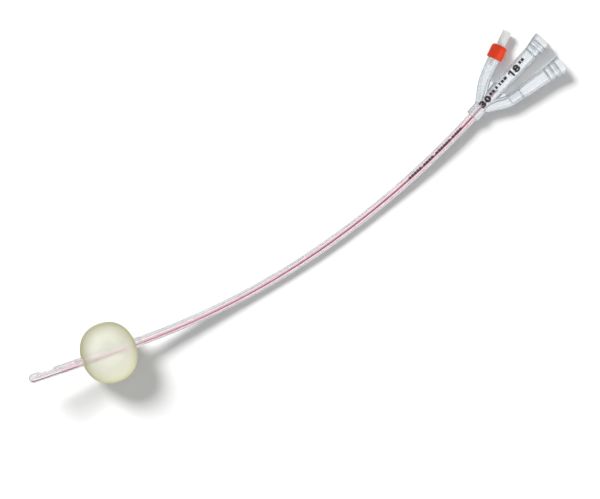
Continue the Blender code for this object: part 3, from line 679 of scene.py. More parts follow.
class ShaftAxis:
    """The shaft's centreline from its end in the hub, with the section's slow twist."""

    def __init__(self):
        self.length = SOCKET_DEPTH + SHAFT_FREE_LENGTH
        self.lift_height = BALLOON_RADIUS - BALLOON_FLAT - SHAFT_RADIUS
        self.drop_height = AXIS_HEIGHT - SHAFT_RADIUS
        self.lift_start = SHAFT_FREE_LENGTH - BALLOON_FROM_NOSE - LIFT_LENGTH
        place = ORIGIN + Vector((SOCKET_DEPTH + HUB_START, 0, 0))
        flat_way = -SOCKET_DEPTH
        self.places = []
        self.directions = []
        for _ in range(math.ceil(self.length / AXIS_STEP) + 2):
            heading = math.pi - self.turned_by(flat_way)
            slope = math.atan(self.steepness(flat_way))
            direction = Vector((math.cos(heading), math.sin(heading), 0)) * math.cos(slope)
            direction.z = math.sin(slope)
            self.places.append(Vector((place.x, place.y, ORIGIN.z + self.height(flat_way))))
            self.directions.append(direction)
            place = place + direction * AXIS_STEP
            flat_way += math.cos(slope) * AXIS_STEP

    @staticmethod
    def turned_by(flat_way):
        """How far the shaft has turned at a distance from the hub along the surface."""
        total = 0.0
        for length, angle in BENDS:
            share = clamped(flat_way / length)
            total += angle * share
            flat_way -= length
        return total

    def height(self, flat_way):
        """Height over the hub's axis."""
        share = clamped(flat_way / DROP_LENGTH)
        level = -self.drop_height * share * share * (3 - 2 * share)
        rise = max((flat_way - self.lift_start) / LIFT_LENGTH, 0)
        if rise <= 1:
            return level + self.lift_height * (2 * rise**3 - rise**4)
        return level + self.lift_height * (1 + 2 * (rise - 1))

    def steepness(self, flat_way):
        share = clamped(flat_way / DROP_LENGTH)
        fall = -self.drop_height * 6 * share * (1 - share) / DROP_LENGTH
        rise = clamped((flat_way - self.lift_start) / LIFT_LENGTH)
        return fall + self.lift_height * (6 * rise**2 - 4 * rise**3) / LIFT_LENGTH

    def __call__(self, along):
        index = clamped(int(along / AXIS_STEP), len(self.places) - 2)
        share = along / AXIS_STEP - index
        place = self.places[index].lerp(self.places[index + 1], share)
        direction = self.directions[index].lerp(self.directions[index + 1], share).normalized()
        across = direction.cross(Vector((0, 0, 1))).normalized()
        up = across.cross(direction)
        free = clamped((along - SOCKET_DEPTH) / SHAFT_FREE_LENGTH)
        twist = TWIST_AT_HUB + (TWIST_AT_TIP - TWIST_AT_HUB) * free**2
        turned_up = up * math.cos(twist) - across * math.sin(twist)
        turned_across = across * math.cos(twist) + up * math.sin(twist)
        return place, turned_across, turned_up

    def from_nose(self, distance):
        return self.length - distance


SHAFT_AXIS = ShaftAxis()
SHAFT_STATIONS = evenly(0, SHAFT_AXIS.length, STATION_PITCH)
DOME_START = SHAFT_AXIS.length - SHAFT_RADIUS


# Camera


def make_camera():
    camera = placed("camera", bpy.data.cameras.new("camera"))
    camera.data.lens = LENS
    camera.data.sensor_width = SENSOR
    camera.location = IMAGE_CENTRE + Vector((0, 0, VIEW_WIDTH * LENS / SENSOR))
    camera.rotation_euler = (0, 0, CAMERA_TURN)
    camera.data.clip_start = NEAR_CLIP
    camera.data.clip_end = FAR_CLIP
    bpy.context.scene.camera = camera


# Shaft


def arc(centre, radius, first, last, count):
    """Points on an arc, its angles clockwise from straight up."""
    angles = [first + (last - first) * index / (count - 1) for index in range(count)]
    return [(centre[0] + radius * math.sin(angle), centre[1] + radius * math.cos(angle)) for angle in angles]


def full_circle(centre, radius, sides):
    return arc(centre, radius, 0, 2 * math.pi, sides + 1)[:-1]


def section_ring(along, outline):
    place, across, up = SHAFT_AXIS(along)
    return [place + across * side + up * height for side, height in outline]


def extruded(name, outline, first, last):
    places = evenly(first, last, STATION_PITCH)
    return solid(name, *skin([section_ring(along, outline) for along in places]))


def drainage_outline():
    """The large D-shaped lumen under the septum, with rounded corners."""
    radius = SHAFT_RADIUS - SHAFT_WALL
    chord = IRRIGATION_LUMEN_HEIGHT - IRRIGATION_LUMEN[1] - SEPTUM
    middle = chord - DRAINAGE_FILLET
    side = math.sqrt((radius - DRAINAGE_FILLET) ** 2 - middle**2)
    touch = math.atan2(side, middle)
    bottom = arc((0, 0), radius, touch, 2 * math.pi - touch, DRAINAGE_STEPS)
    right = arc((side, middle), DRAINAGE_FILLET, 0, touch, DRAINAGE_FILLET_STEPS)[:-1]
    left = arc((-side, middle), DRAINAGE_FILLET, -touch, 0, DRAINAGE_FILLET_STEPS)[1:]
    return right + bottom + left


def irrigation_outline():
    half_width, half_height = IRRIGATION_LUMEN
    return [
        (IRRIGATION_OFFSET + half_width * side, IRRIGATION_LUMEN_HEIGHT + half_height * height)
        for side, height in full_circle((0, 0), 1, IRRIGATION_LUMEN_SIDES)
    ]


def side_port(axis):
    """Where along the shaft an arm's axis reaches its side."""
    port = axis.start.x + SHAFT_RADIUS / abs(math.tan(axis.angle))
    return HUB_START + SOCKET_DEPTH - port


def drill(name, along, outer, inner, radius):
    """A round hole through the shaft's wall, from a point outside it to one in a lumen."""
    place, across, up = SHAFT_AXIS(along)
    first = place + across * outer[0] + up * outer[1]
    last = place + across * inner[0] + up * inner[1]
    way = (last - first).normalized()
    beside = way.cross(up.cross(across)).normalized()
    over = beside.cross(way)
    rings = [round_ring((end, beside, over), radius, HOLE_SIDES) for end in (first, last)]
    return solid(name, *skin(rings))


def eye(name, placing, size):
    """A long round-ended scoop through the wall."""
    from_nose, angle, tilt = placing
    half_length, half_width, half_depth = size
    place, across, up = SHAFT_AXIS(SHAFT_AXIS.from_nose(from_nose))
    out = across * math.cos(angle) + up * math.sin(angle)
    middle = place + out * (SHAFT_RADIUS + EYE_RISE)
    along = up.cross(across).normalized()
    beside = along.cross(out)
    way = along * math.cos(tilt) + out * math.sin(tilt)
    out = beside.cross(way)
    circle = full_circle((0, 0), 1, EYE_SIDES)
    rings = [[middle - way * half_length]]
    for index in range(1, EYE_STEPS):
        turn = math.pi * index / EYE_STEPS
        centre = middle - way * half_length * math.cos(turn)
        wide = beside * half_width * math.sin(turn)
        deep = out * half_depth * math.sin(turn)
        rings.append([centre + wide * side + deep * height for side, height in circle])
    rings.append([middle + way * half_length])
    return solid(name, *skin(rings))


def make_tube(finish):
    outline = full_circle((0, 0), SHAFT_RADIUS, SHAFT_SIDES)
    rings = [section_ring(along, outline) for along in evenly(0, DOME_START, STATION_PITCH)]
    for index in range(1, DOME_STEPS):
        turn = math.pi / 2 * index / DOME_STEPS
        ring = full_circle((0, 0), SHAFT_RADIUS * math.cos(turn), SHAFT_SIDES)
        rings.append(section_ring(DOME_START + SHAFT_RADIUS * math.sin(turn), ring))
    rings.append([SHAFT_AXIS(SHAFT_AXIS.length)[0]])
    tube = solid("tube", *skin(rings))
    inflation = side_port(INFLATION_AXIS)
    irrigation = side_port(IRRIGATION_AXIS)
    balloon = SHAFT_AXIS.from_nose(BALLOON_FROM_NOSE)
    drainage_end = SHAFT_AXIS.from_nose(SHAFT_RADIUS + NOSE_WALL)
    irrigation_end = SHAFT_AXIS.from_nose(IRRIGATION_EYE[0] - IRRIGATION_EYE_SIZE[0] - NOSE_WALL)
    side, height = INFLATION_LUMEN_PLACE
    small = full_circle(INFLATION_LUMEN_PLACE, INFLATION_LUMEN_RADIUS, INFLATION_LUMEN_SIDES)
    level = IRRIGATION_LUMEN_HEIGHT
    beside, inside = (-2 * SHAFT_RADIUS, level), (IRRIGATION_OFFSET, level)
    cutters = [
        extruded("drainage_lumen", drainage_outline(), -OVERSHOOT, drainage_end),
        extruded("irrigation_lumen", irrigation_outline(), irrigation - LUMEN_RUN_ON, irrigation_end),
        extruded("inflation_lumen", small, inflation - LUMEN_RUN_ON, balloon + LUMEN_RUN_ON),
        drill("irrigation_hole", irrigation, beside, inside, IRRIGATION_HOLE_RADIUS),
        drill("inflation_hole", inflation, (2 * SHAFT_RADIUS, height), (side, height), HOLE_RADIUS),
        drill("filling_hole", balloon, (2 * side, 2 * height), (side, height), HOLE_RADIUS),
        eye("side_eye", SIDE_EYE, SIDE_EYE_SIZE),
        eye("under_eye", UNDER_EYE, UNDER_EYE_SIZE),
        eye("irrigation_eye", IRRIGATION_EYE, IRRIGATION_EYE_SIZE),
    ]
    cut(tube, cutters)
    # The painted glow round the stripe
    mark_points(tube, "painted_stripe_glow", painted_glow_marks(tube))
    finished(tube, finish, "shaft")
    path = [SHAFT_AXIS(along)[0] for along in SHAFT_STATIONS]
    return tube, path


def painted_glow_marks(piece):
    """How near each point lies to the stripe, round the shaft: the share of the painted glow, the stripe's
    red that refraction carries into the clear wall.
    """
    frames = [SHAFT_AXIS(along) for along in SHAFT_STATIONS]
    centres, across, up = (np.array([tuple(item[index]) for item in frames]) for index in range(3))
    points = np.array([tuple(vertex.co) for vertex in piece.data.vertices])
    nearest = np.array([((centres - point) ** 2).sum(1).argmin() for point in points])
    offset = points - centres[nearest]
    angle = np.arctan2((offset * across[nearest]).sum(1), (offset * up[nearest]).sum(1))
    width = np.interp(nearest, [0, len(SHAFT_STATIONS) - 1], [GLOW_ANGLE, GLOW_ANGLE_AT_NOSE])
    return GLOW_FAR + (1 - GLOW_FAR) * np.exp(-((angle / width) ** 2))


def make_stripe(finish):
    """The coloured line, drawn into the wall just under its surface."""

    def outline(radius):
        outer = radius - STRIPE_COVER
        corner = math.asin(STRIPE_WIDTH / 2 / outer)
        low = outer - STRIPE_DEPTH
        bottom = arc((0, 0), low, corner, -corner, STRIPE_STEPS)
        return arc((0, 0), outer, -corner, corner, STRIPE_STEPS) + bottom

    places = evenly(STRIPE_COVER, DOME_START, STATION_PITCH)
    rings = [section_ring(along, outline(SHAFT_RADIUS)) for along in places]
    for index in range(1, DOME_STEPS):
        turn = STRIPE_END * index / DOME_STEPS
        along = DOME_START + (SHAFT_RADIUS - STRIPE_COVER) * math.sin(turn)
        rings.append(section_ring(along, outline(SHAFT_RADIUS * math.cos(turn))))
    stripe = solid("stripe", *skin(rings))
    return finished(stripe, finish, "xray_stripe", sharp=SHARP_ON_TUBES)


# Balloon


def balloon_curve(half_length, radius, end_radius):
    """(along, radius) over the blown part, from collar to collar."""
    power = 2 / BALLOON_SQUARENESS
    first = math.asin((end_radius / radius) ** (1 / power))
    curve = []
    for index in range(BALLOON_STEPS + 1):
        angle = first + (math.pi - 2 * first) * index / BALLOON_STEPS
        swing = -math.cos(angle)
        along = math.copysign(half_length * abs(swing) ** power, swing)
        curve.append((along, radius * math.sin(angle) ** power))
    return curve


def make_balloon(finish, lining, bonded_finish):
    """The blown skin, and the two ends that are bonded to the tube."""
    middle = SHAFT_AXIS.from_nose(BALLOON_FROM_NOSE)
    bore = SHAFT_RADIUS + BOND_GAP
    outside = balloon_curve(BALLOON_HALF_LENGTH, BALLOON_RADIUS, bore + BALLOON_WALL)
    inside = balloon_curve(BALLOON_HALF_LENGTH - BALLOON_WALL, BALLOON_RADIUS - BALLOON_WALL, bore)
    profile = [(along, radius, 0) for along, radius in outside]
    profile += [(along, radius, BALLOON_WALL) for along, radius in reversed(inside)]
    rings = []
    for along, radius, depth in profile:
        ring = round_ring(SHAFT_AXIS(middle + along), radius, BALLOON_SIDES)
        rings.append([Vector((point.x, point.y, max(point.z, depth))) for point in ring])
    skin_piece = solid("balloon_skin", *skin(rings, closed_loop=True))
    ends = []
    for side in (-1, 1):
        first = outside[0][0] if side < 0 else outside[-1][0]
        last = side * (BALLOON_HALF_LENGTH + BALLOON_COLLAR)
        skirt = [(first, bore), (first, bore + BALLOON_WALL)]
        for back, wall in BALLOON_SKIRT:
            skirt.append((last - side * back * BALLOON_WALL, bore + wall * BALLOON_WALL))
        rings = [round_ring(SHAFT_AXIS(middle + along), radius, SHAFT_SIDES) for along, radius in skirt]
        ends.append(solid("balloon_end", *skin(rings, closed_loop=True)))
    ends_piece = join("balloon_ends", ends)
    finished(skin_piece, finish, "balloon", sharp=SHARP_ON_TUBES)
    skin_piece.data.materials.append(lining)
    outer_faces = len(outside) * BALLOON_SIDES
    inner_faces = (len(inside) - 1) * BALLOON_SIDES
    for index in range(outer_faces, outer_faces + inner_faces):
        skin_piece.data.polygons[index].material_index = 1
    finished(ends_piece, bonded_finish, "balloon", sharp=SHARP_ON_TUBES)
    return [skin_piece, ends_piece]


# Hub


def eased(first, last, steps):
    """Points from first to last on a curve that leaves both level."""
    points = []
    for index in range(steps + 1):
        share = index / steps
        ease = share * share * (3 - 2 * share)
        points.append((first[0] + (last[0] - first[0]) * share, first[1] + (last[1] - first[1]) * ease))
    return points


def rounded(corner, before, after, radius, steps=5):
    """Points that round a corner of a profile."""
    corner, before, after = Vector(corner), Vector(before), Vector(after)
    start = corner + (before - corner).normalized() * radius
    end = corner + (after - corner).normalized() * radius
    points = []
    for index in range(steps + 1):
        share = index / steps
        point = start * (1 - share) ** 2 + corner * 2 * share * (1 - share) + end * share**2
        points.append((point.x, point.y))
    return points


def mouth_outside(rim, start_radius):
    """The flare of a funnel's mouth and its softened rim."""
    flare = eased((rim - MOUTH_LENGTH, start_radius), (rim - 2 * EDGE, RIM_RADIUS), FLARE_STEPS)
    lip = rounded((rim, RIM_RADIUS), (rim - 1, RIM_RADIUS), (rim, 0), 1.6 * EDGE)
    return flare + lip


def mouth_bore(rim):
    """The bore from the rim inwards: narrowing steps with ribs that grip a connector."""
    profile = [(rim, RIM_BORE)]
    radius = RIM_BORE
    for step in range(GRIP_COUNT):
        inner = grip_place(rim, step)
        profile.append((inner + RIB / 2 + GRIP_DROP + RIB_FADE, radius))
        profile.append((inner + RIB / 2 + GRIP_DROP, radius))
        radius -= GRIP_DROP
        profile.append((inner + RIB / 2, radius - RIB))
        profile.append((inner - RIB / 2, radius - RIB))
        profile.append((inner - 1.5 * RIB, radius))
        profile.append((inner - 1.5 * RIB - RIB_FADE, radius))
    return profile


def grip_place(rim, step):
    return rim - GRIP_START - GRIP_PITCH * (step + 1)


def arm(name, axis, radii, first, last, full_at):
    """A round form along an arm's axis, which tapers evenly up to a place."""
    profile = []
    for along in evenly(first, last, ARM_PITCH):
        share = min((along - first) / (full_at - first), 1)
        profile.append((along, radii[0] + (radii[1] - radii[0]) * share))
    return turned(name, profile, ARM_SIDES, axis)


def arm_outside(name, axis, radii, past_port):
    return arm(name, axis, radii, 0, axis.port + past_port, axis.port)


def arm_bore(name, axis, radii):
    """The passage from the shaft's side to the port, tapering as its core pin does."""
    last = axis.port + OVERSHOOT
    first = (SHAFT_RADIUS - SOCKET_LIP) / abs(math.sin(axis.angle))
    return arm(name, axis, radii, first, last, last)


def port_socket(name, axis, first, last, radius):
    """The socket at an arm's end that takes the next piece."""
    profile = [(first - SEAT_GAP, radius + BOND_GAP), (last + OVERSHOOT, radius + BOND_GAP)]
    return turned(name, profile, ARM_SIDES, axis.port_line)


def web(name, axis, radii):
    """The flat web that fills the fork between an arm and the tube, with a hollowed edge."""
    side = math.copysign(1, axis.angle)
    length = (WEB_END_X - axis.start.x) / math.cos(axis.angle)
    edge = [axis.point(length * (index + 1) / WEB_STEPS) for index in range(WEB_STEPS)]
    gap_middle = side * (TUBE_RADIUS + abs(edge[-1].y) - radii[1]) / 2
    outline = [(axis.start.x, 0)] + [(point.x, point.y) for point in edge]
    for index in range(WEB_STEPS + 1):
        turn = math.pi * (0.5 + index / WEB_STEPS)
        across = gap_middle + side * WEB_HOLLOW * math.sin(turn)
        outline.append((WEB_END_X + WEB_HOLLOW * math.cos(turn), across))
    outline.append((WEB_END_X, 0))
    rings = []
    for height in (-WEB_THICKNESS / 2, WEB_THICKNESS / 2):
        rings.append([ORIGIN + Vector((x, y, height)) for x, y in outline])
    return solid(name, *skin(rings))


def along_and_off(piece, frame_at):
    """How far along an axis each point of a piece lies, and how far off it."""
    origin, across, up = frame_at
    way = np.array(across.cross(up))
    points = np.array([tuple(vertex.co - origin) for vertex in piece.data.vertices])
    along = points @ way
    return along, np.linalg.norm(points - np.outer(along, way), axis=1)


def rib_shade_marks(piece, axis, rim):
    """How near each point lies to a rib in a mouth's bore, where the bore gets painted shade for the dark
    bars that the steps refract.
    """
    places, radii = zip(*sorted(mouth_bore(rim)))
    along, radius = along_and_off(piece, axis(0))
    on_bore = radius < np.interp(along, places, radii) + RIB_REACH
    near = np.zeros(len(along))
    for step in range(GRIP_COUNT):
        inner = grip_place(rim, step)
        low = inner - 1.5 * RIB - along
        high = along - (inner + RIB / 2 + GRIP_DROP)
        beyond = np.maximum(np.maximum(low, high), 0)
        near = np.maximum(near, np.clip(1 - beyond / RIB_FADE, 0, 1))
    return near * on_bore


def edge_shade_marks(piece, frame_at, inner_radius):
    """How near each point lies to a moulding's square end, from a radius outwards. It shows as a line of
    painted shade, for the dark line that refraction draws at a clear edge.
    """
    along, radius = along_and_off(piece, frame_at)
    around = (radius > inner_radius) & (radius < RIM_RADIUS)
    return np.clip(2 - np.abs(along) / EDGE_BAND, 0, 1) * around


def make_hub(finish):
    """The moulding: its outer skin flows together, and the core pins' bores are cut into it."""
    socket_end = HUB_START + SOCKET_DEPTH + SEAT_GAP
    sleeve_end = (HUB_START + SLEEVE_LENGTH, SLEEVE_RADIUS)
    taper_end = (sleeve_end[0] + SLEEVE_TAPER, TUBE_RADIUS)
    outside = [(HUB_START, 0)]
    outside += rounded((HUB_START, SLEEVE_RADIUS), (HUB_START, 0), (1, SLEEVE_RADIUS), 3 * EDGE)
    outside += eased(sleeve_end, taper_end, SLEEVE_TAPER_STEPS)
    outside += [(socket_end, TUBE_RADIUS)] + mouth_outside(RIM_X, TUBE_END_RADIUS) + [(RIM_X, 0)]
    parts = [
        turned("tube_outside", outside, HUB_SIDES),
        arm_outside("inflation_outside", INFLATION_AXIS, INFLATION_ARM_RADII, ARM_IN_COLLAR),
        arm_outside("irrigation_outside", IRRIGATION_AXIS, IRRIGATION_ARM_RADII, 0),
        web("inflation_web", INFLATION_AXIS, INFLATION_ARM_RADII),
        web("irrigation_web", IRRIGATION_AXIS, IRRIGATION_ARM_RADII),
    ]
    hub = join("hub_moulding", parts)
    remesh = hub.modifiers.new("flow", "REMESH")
    remesh.mode = "VOXEL"
    remesh.voxel_size = HUB_VOXEL
    soften = hub.modifiers.new("soften", "SMOOTH")
    soften.iterations = HUB_SMOOTHING
    evaluate(hub)
    socket = SHAFT_RADIUS + BOND_GAP
    bore = [(RIM_X + OVERSHOOT, 0), (RIM_X + OVERSHOOT, RIM_BORE)] + mouth_bore(RIM_X)
    bore += [
        (socket_end + THROAT_LENGTH, TUBE_BORE),
        (socket_end, SHAFT_RADIUS - SOCKET_LIP),
        (socket_end, socket),
        (HUB_START - OVERSHOOT, socket),
        (HUB_START - OVERSHOOT, 0),
    ]
    cutters = [
        turned("tube_bore", bore, HUB_SIDES),
        arm_bore("inflation_bore", INFLATION_AXIS, INFLATION_BORES),
        arm_bore("irrigation_bore", IRRIGATION_AXIS, IRRIGATION_BORES),
        port_socket("valve_socket", INFLATION_AXIS, 0, ARM_IN_COLLAR, BARREL_RADIUS),
        port_socket("spigot_socket", IRRIGATION_AXIS, -SPIGOT_LENGTH, 0, SPIGOT_RADIUS),
    ]
    cut(hub, cutters)
    # Painted shade: a dark line at the irrigation port's end, and dark bars at the grip ribs
    port_edge_shade = edge_shade_marks(hub, IRRIGATION_AXIS.port_line(0), IRRIGATION_ARM_RADII[1] - EDGE)
    mark_points(hub, "rib", np.maximum(rib_shade_marks(hub, hub_line, RIM_X), port_edge_shade))
    return finished(hub, finish, "hub")


def make_irrigation_funnel(finish):
    marked = EDGE_BAND - SPIGOT_LENGTH
    unmarked = marked + EDGE_BAND
    outside = [(unmarked, SPIGOT_BORE), (marked, SPIGOT_BORE), (-SPIGOT_LENGTH, SPIGOT_BORE)]
    outside += [(-SPIGOT_LENGTH, SPIGOT_RADIUS), (marked, SPIGOT_RADIUS), (unmarked, SPIGOT_RADIUS)]
    outside += [(SEAT_GAP, SPIGOT_RADIUS)]
    outside += rounded((SEAT_GAP, FUNNEL_RADIUS), (SEAT_GAP, 0), (1, FUNNEL_RADIUS), 2 * EDGE)
    outside += mouth_outside(FUNNEL_LENGTH, FUNNEL_END_RADIUS)
    bore = mouth_bore(FUNNEL_LENGTH) + [(FUNNEL_THROAT_LENGTH, FUNNEL_BORE), (0, SPIGOT_BORE)]
    axis = IRRIGATION_AXIS.port_line
    funnel = turned("irrigation_moulding", outside + bore, HUB_SIDES, axis, closed_loop=True)
    # Painted shade: a dark line at the spigot's end, and dark bars at the grip ribs
    spigot_edge_shade = edge_shade_marks(funnel, axis(-SPIGOT_LENGTH), 0)
    mark_points(funnel, "rib", np.maximum(rib_shade_marks(funnel, axis, FUNNEL_LENGTH), spigot_edge_shade))
    return finished(funnel, finish, "irrigation_funnel")


# Valve


def make_valve_body(finish):
    """The stem in the arm, the barrel with its flange, and the stub for a syringe, in one moulding."""
    flange = ARM_IN_COLLAR + SEAT_GAP
    flange_end = flange + FLANGE_THICKNESS
    flange_radius = INFLATION_ARM_RADII[1]
    seat = CHAMBER_END + SEAT_THICKNESS
    outside = [(-STEM_LENGTH, STEM_BORE)]
    outside += rounded((-STEM_LENGTH, STEM_RADIUS), (-STEM_LENGTH, 0), (0, STEM_RADIUS), EDGE)
    outside += [
        (0, STEM_RADIUS),
        (0, BARREL_RADIUS),
        (flange, BARREL_RADIUS),
        (flange, flange_radius),
        (flange_end, flange_radius),
        (flange_end, STUB_RADIUS),
    ]
    outside += rounded((STUB_END, STUB_RADIUS), (0, STUB_RADIUS), (STUB_END, 0), EDGE)
    bore = [
        (STUB_END, LUER_RADII[1]),
        (seat, LUER_RADII[0]),
        (seat, SEAT_BORE),
        (CHAMBER_END, SEAT_BORE),
        (CHAMBER_END, CHAMBER_RADIUS),
        (CHAMBER_START, CHAMBER_RADIUS),
        (CHAMBER_START, STEM_BORE),
    ]
    axis = INFLATION_AXIS.port_line
    valve = turned("valve_moulding", outside + bore, VALVE_SIDES, axis, closed_loop=True)
    finished(valve, finish, "valve_body")


def make_collar(finish):
    """The coloured ring that clamps the valve's flange to the end of the arm."""
    bore = INFLATION_ARM_RADII[1] + BOND_GAP
    lip = COLLAR_LENGTH - COLLAR_LIP
    mouth = STUB_RADIUS + BOND_GAP
    shoulder = (COLLAR_LENGTH - COLLAR_CHAMFER, COLLAR_RADIUS)
    bevel = (COLLAR_LENGTH - COLLAR_CHAMFER / 4, COLLAR_RADIUS - COLLAR_CHAMFER / 2)
    face = (COLLAR_LENGTH, COLLAR_RADIUS - COLLAR_CHAMFER)
    profile = [(0, bore)]
    profile += rounded((0, COLLAR_RADIUS), (0, 0), shoulder, 1.5 * EDGE)
    profile += rounded(shoulder, (0, COLLAR_RADIUS), bevel, 1.5 * EDGE)
    profile += rounded(bevel, shoulder, face, EDGE)
    profile += rounded(face, bevel, (COLLAR_LENGTH, 0), EDGE)
    profile += [(COLLAR_LENGTH, mouth), (lip, mouth), (lip, bore)]
    axis = INFLATION_AXIS.port_line
    collar = turned("collar_moulding", profile, VALVE_SIDES, axis, closed_loop=True)
    finished(collar, finish, "valve_collar")


def make_spring(finish):
    """The coil under the plunger's head, made here at one length; the real one shortens as the plunger goes
    in.
    """
    floor = CHAMBER_START + BOND_GAP
    head = CHAMBER_END - 2 * BOND_GAP - SEAL_THICKNESS - PLUNGER_HEAD
    length = head - BOND_GAP - floor
    coil = CHAMBER_RADIUS - SLIDE_GAP - SPRING_WIRE
    rings = []
    for index in range(SPRING_TURNS * SPRING_STEPS + 1):
        turns = index / SPRING_STEPS
        along = floor + SPRING_WIRE + (length - 2 * SPRING_WIRE) * turns / SPRING_TURNS
        middle, across, up = INFLATION_AXIS.port_line(along)
        angle = 2 * math.pi * turns
        out = across * math.cos(angle) + up * math.sin(angle)
        way = across.cross(up)
        rings.append(round_ring((middle + out * coil, out, way), SPRING_WIRE, SPRING_SIDES))
    spring = solid("spring_coil", *skin(rings))
    finished(spring, finish, "valve_spring", sharp=SHARP_ON_TUBES)
    anchor = INFLATION_AXIS.port_line(floor)[0]
    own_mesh(spring)


# Print


def skin_of(piece):
    """A tree that rays can be cast at."""
    points = [vertex.co.copy() for vertex in piece.data.vertices]
    return BVHTree.FromPolygons(points, [tuple(face.vertices) for face in piece.data.polygons])


def onto(skin_tree, above):
    """The place on a skin below a point, lifted off it by a hair."""
    hit, normal, _, _ = skin_tree.ray_cast(above, Vector((0, 0, -1)))
    return hit + normal * PRINT_LIFT


def inked(name, mesh, finish):
    """A flat mesh made as thick as a layer of ink."""
    made = placed(name, mesh)
    thick = made.modifiers.new("thickness", "SOLIDIFY")
    thick.thickness = PRINT_THICKNESS
    thick.offset = 1
    evaluate(made)
    return finished(made, finish)


def wrap(name, flat_mesh, skin_tree, finish):
    """Lays a flat shape on the hub's upper side, cut up finely enough to follow it."""
    shape = bmesh.new()
    shape.from_mesh(flat_mesh)
    for axis in (0, 1):
        low = min(vertex.co[axis] for vertex in shape.verts)
        high = max(vertex.co[axis] for vertex in shape.verts)
        normal = Vector((0, 0, 0))
        normal[axis] = 1
        for index in range(1, math.ceil((high - low) / PRINT_PITCH)):
            place = normal * (low + index * PRINT_PITCH)
            geometry = shape.verts[:] + shape.edges[:] + shape.faces[:]
            bmesh.ops.bisect_plane(shape, geom=geometry, dist=WELD, plane_co=place, plane_no=normal)
    bmesh.ops.triangulate(shape, faces=[face for face in shape.faces if len(face.verts) > 4])
    top = ORIGIN.z + 2 * RIM_RADIUS
    for vertex in shape.verts:
        vertex.co = onto(skin_tree, Vector((ORIGIN.x + vertex.co.x, ORIGIN.y + vertex.co.y, top)))
    mesh = bpy.data.meshes.new(name)
    shape.to_mesh(mesh)
    shape.free()
    inked(name, mesh, finish)


def wrap_shaft(name, start, count, skin_tree, finish):
    """A row of plain blocks of ink on the shaft's upper side, from a distance before the hub."""
    width, height = SHAFT_MARK_SIZE
    columns = math.ceil(width / PRINT_PITCH)
    rows = math.ceil(height / PRINT_PITCH)
    points = []
    faces = []
    for index in range(count):
        first = SOCKET_DEPTH + start + index * SHAFT_MARK_PITCH
        base = len(points)
        for column in range(columns + 1):
            along = first + width * column / columns
            place = SHAFT_AXIS(along)[0]
            across = (SHAFT_AXIS(along + AXIS_STEP)[0] - place).cross(Vector((0, 0, 1))).normalized()
            for row in range(rows + 1):
                side = SHAFT_MARK_SIDE + height * (row / rows - 0.5)
                points.append(onto(skin_tree, place + across * side + Vector((0, 0, 2 * SHAFT_RADIUS))))
        for column in range(columns):
            for row in range(rows):
                corner = base + column * (rows + 1) + row
                faces.append((corner, corner + rows + 1, corner + rows + 2, corner + 1))
    return inked(name, flat(name, points, faces), finish)


def make_shaft_print(tube, finish):
    """Plain blocks in rows along the shaft."""
    tree = skin_of(tube)
    return [
        wrap_shaft(f"shaft_mark_{index + 1}", start, count, tree, finish)
        for index, (start, count) in enumerate(SHAFT_MARKS)
    ]


def numeral(text, left, right, low, high):
    """The flat mesh of a bold numeral that fills a box."""
    curve = bpy.data.curves.new("numeral", "FONT")
    curve.body = text
    curve.offset = NUMERAL_WEIGHT
    curve.resolution_u = NUMERAL_STEPS
    letter = placed("numeral", curve)
    bpy.context.view_layer.update()
    mesh = bpy.data.meshes.new_from_object(letter.evaluated_get(bpy.context.evaluated_depsgraph_get()))
    bpy.data.objects.remove(letter)
    points = np.array([vertex.co for vertex in mesh.vertices])
    first, last = points.min(0), points.max(0)
    for vertex in mesh.vertices:
        vertex.co.x = left + (vertex.co.x - first[0]) / (last[0] - first[0]) * (right - left)
        vertex.co.y = low + (vertex.co.y - first[1]) / (last[1] - first[1]) * (high - low)
        vertex.co.z = 0
    return mesh


def one():
    """The flat mesh of a plain 1: a bar with a flag."""
    left, width, low, high = ONE_BAR
    reach, drop, thickness = ONE_FLAG
    outline = [
        (left, low, 0),
        (left + width, low, 0),
        (left + width, high, 0),
        (left, high, 0),
        (left - reach, high - drop, 0),
        (left - reach, high - drop - thickness, 0),
        (left, high - thickness, 0),
    ]
    return flat("one", outline, [(0, 1, 2, 3, 6), (3, 4, 5, 6)])


def rectangle(name, left, right, low, high):
    corners = [(left, low, 0), (right, low, 0), (right, high, 0), (left, high, 0)]
    return flat(name, corners, [(0, 1, 2, 3)])


def make_print(hub, finish):
    """Two plain numbers and plain blocks, on the hub's tube."""
    tree = skin_of(hub)
    for name, text, left, right, low, high in NUMERALS:
        wrap(name, numeral(text, left, right, low, high), tree, finish)
    wrap("numeral_one", one(), tree, finish)
    for index, (left, width) in enumerate(MARKS):
        block = rectangle("block", left, left + width, MARK_LOW, MARK_HIGH)
        wrap(f"mark_{index + 1}", block, tree, finish)


# Stage


def make_floor():
    """A pale floor. What the camera, a gloss or a clear piece sees of it is white, but for the shadow."""
    half = FLOOR_SIZE / 2
    floor = placed("floor", rectangle("floor", -half, half, -half, half))
    made, tree, shader, output = node_material("floor")
    tree.nodes.remove(shader)
    through = maths(tree, "MULTIPLY", ray(tree, "Transmission"), FLOOR_THROUGH)
    whitened = maths(tree, "MAXIMUM", ray(tree, "Glossy"), through)
    direct = maths(tree, "MAXIMUM", ray(tree, "Camera"), ray(tree, "Transmission"))
    strength = maths(tree, "MULTIPLY", direct, FLOOR_GLOW)
    diffuse = add(tree, "ShaderNodeBsdfDiffuse", "BSDF", {"Color": FLOOR_COLOUR})
    glow = add(tree, "ShaderNodeEmission", "Emission", {"Strength": strength})
    lit = add(tree, "ShaderNodeAddShader", "Shader", {0: diffuse, 1: glow})
    white = add(tree, "ShaderNodeEmission", "Emission", {"Color": WHITE})
    seen = add(tree, "ShaderNodeMixShader", "Shader", {"Fac": whitened, 1: lit, 2: white})
    plug(tree, output, {"Surface": seen})
    floor.data.materials.append(made)
    return floor


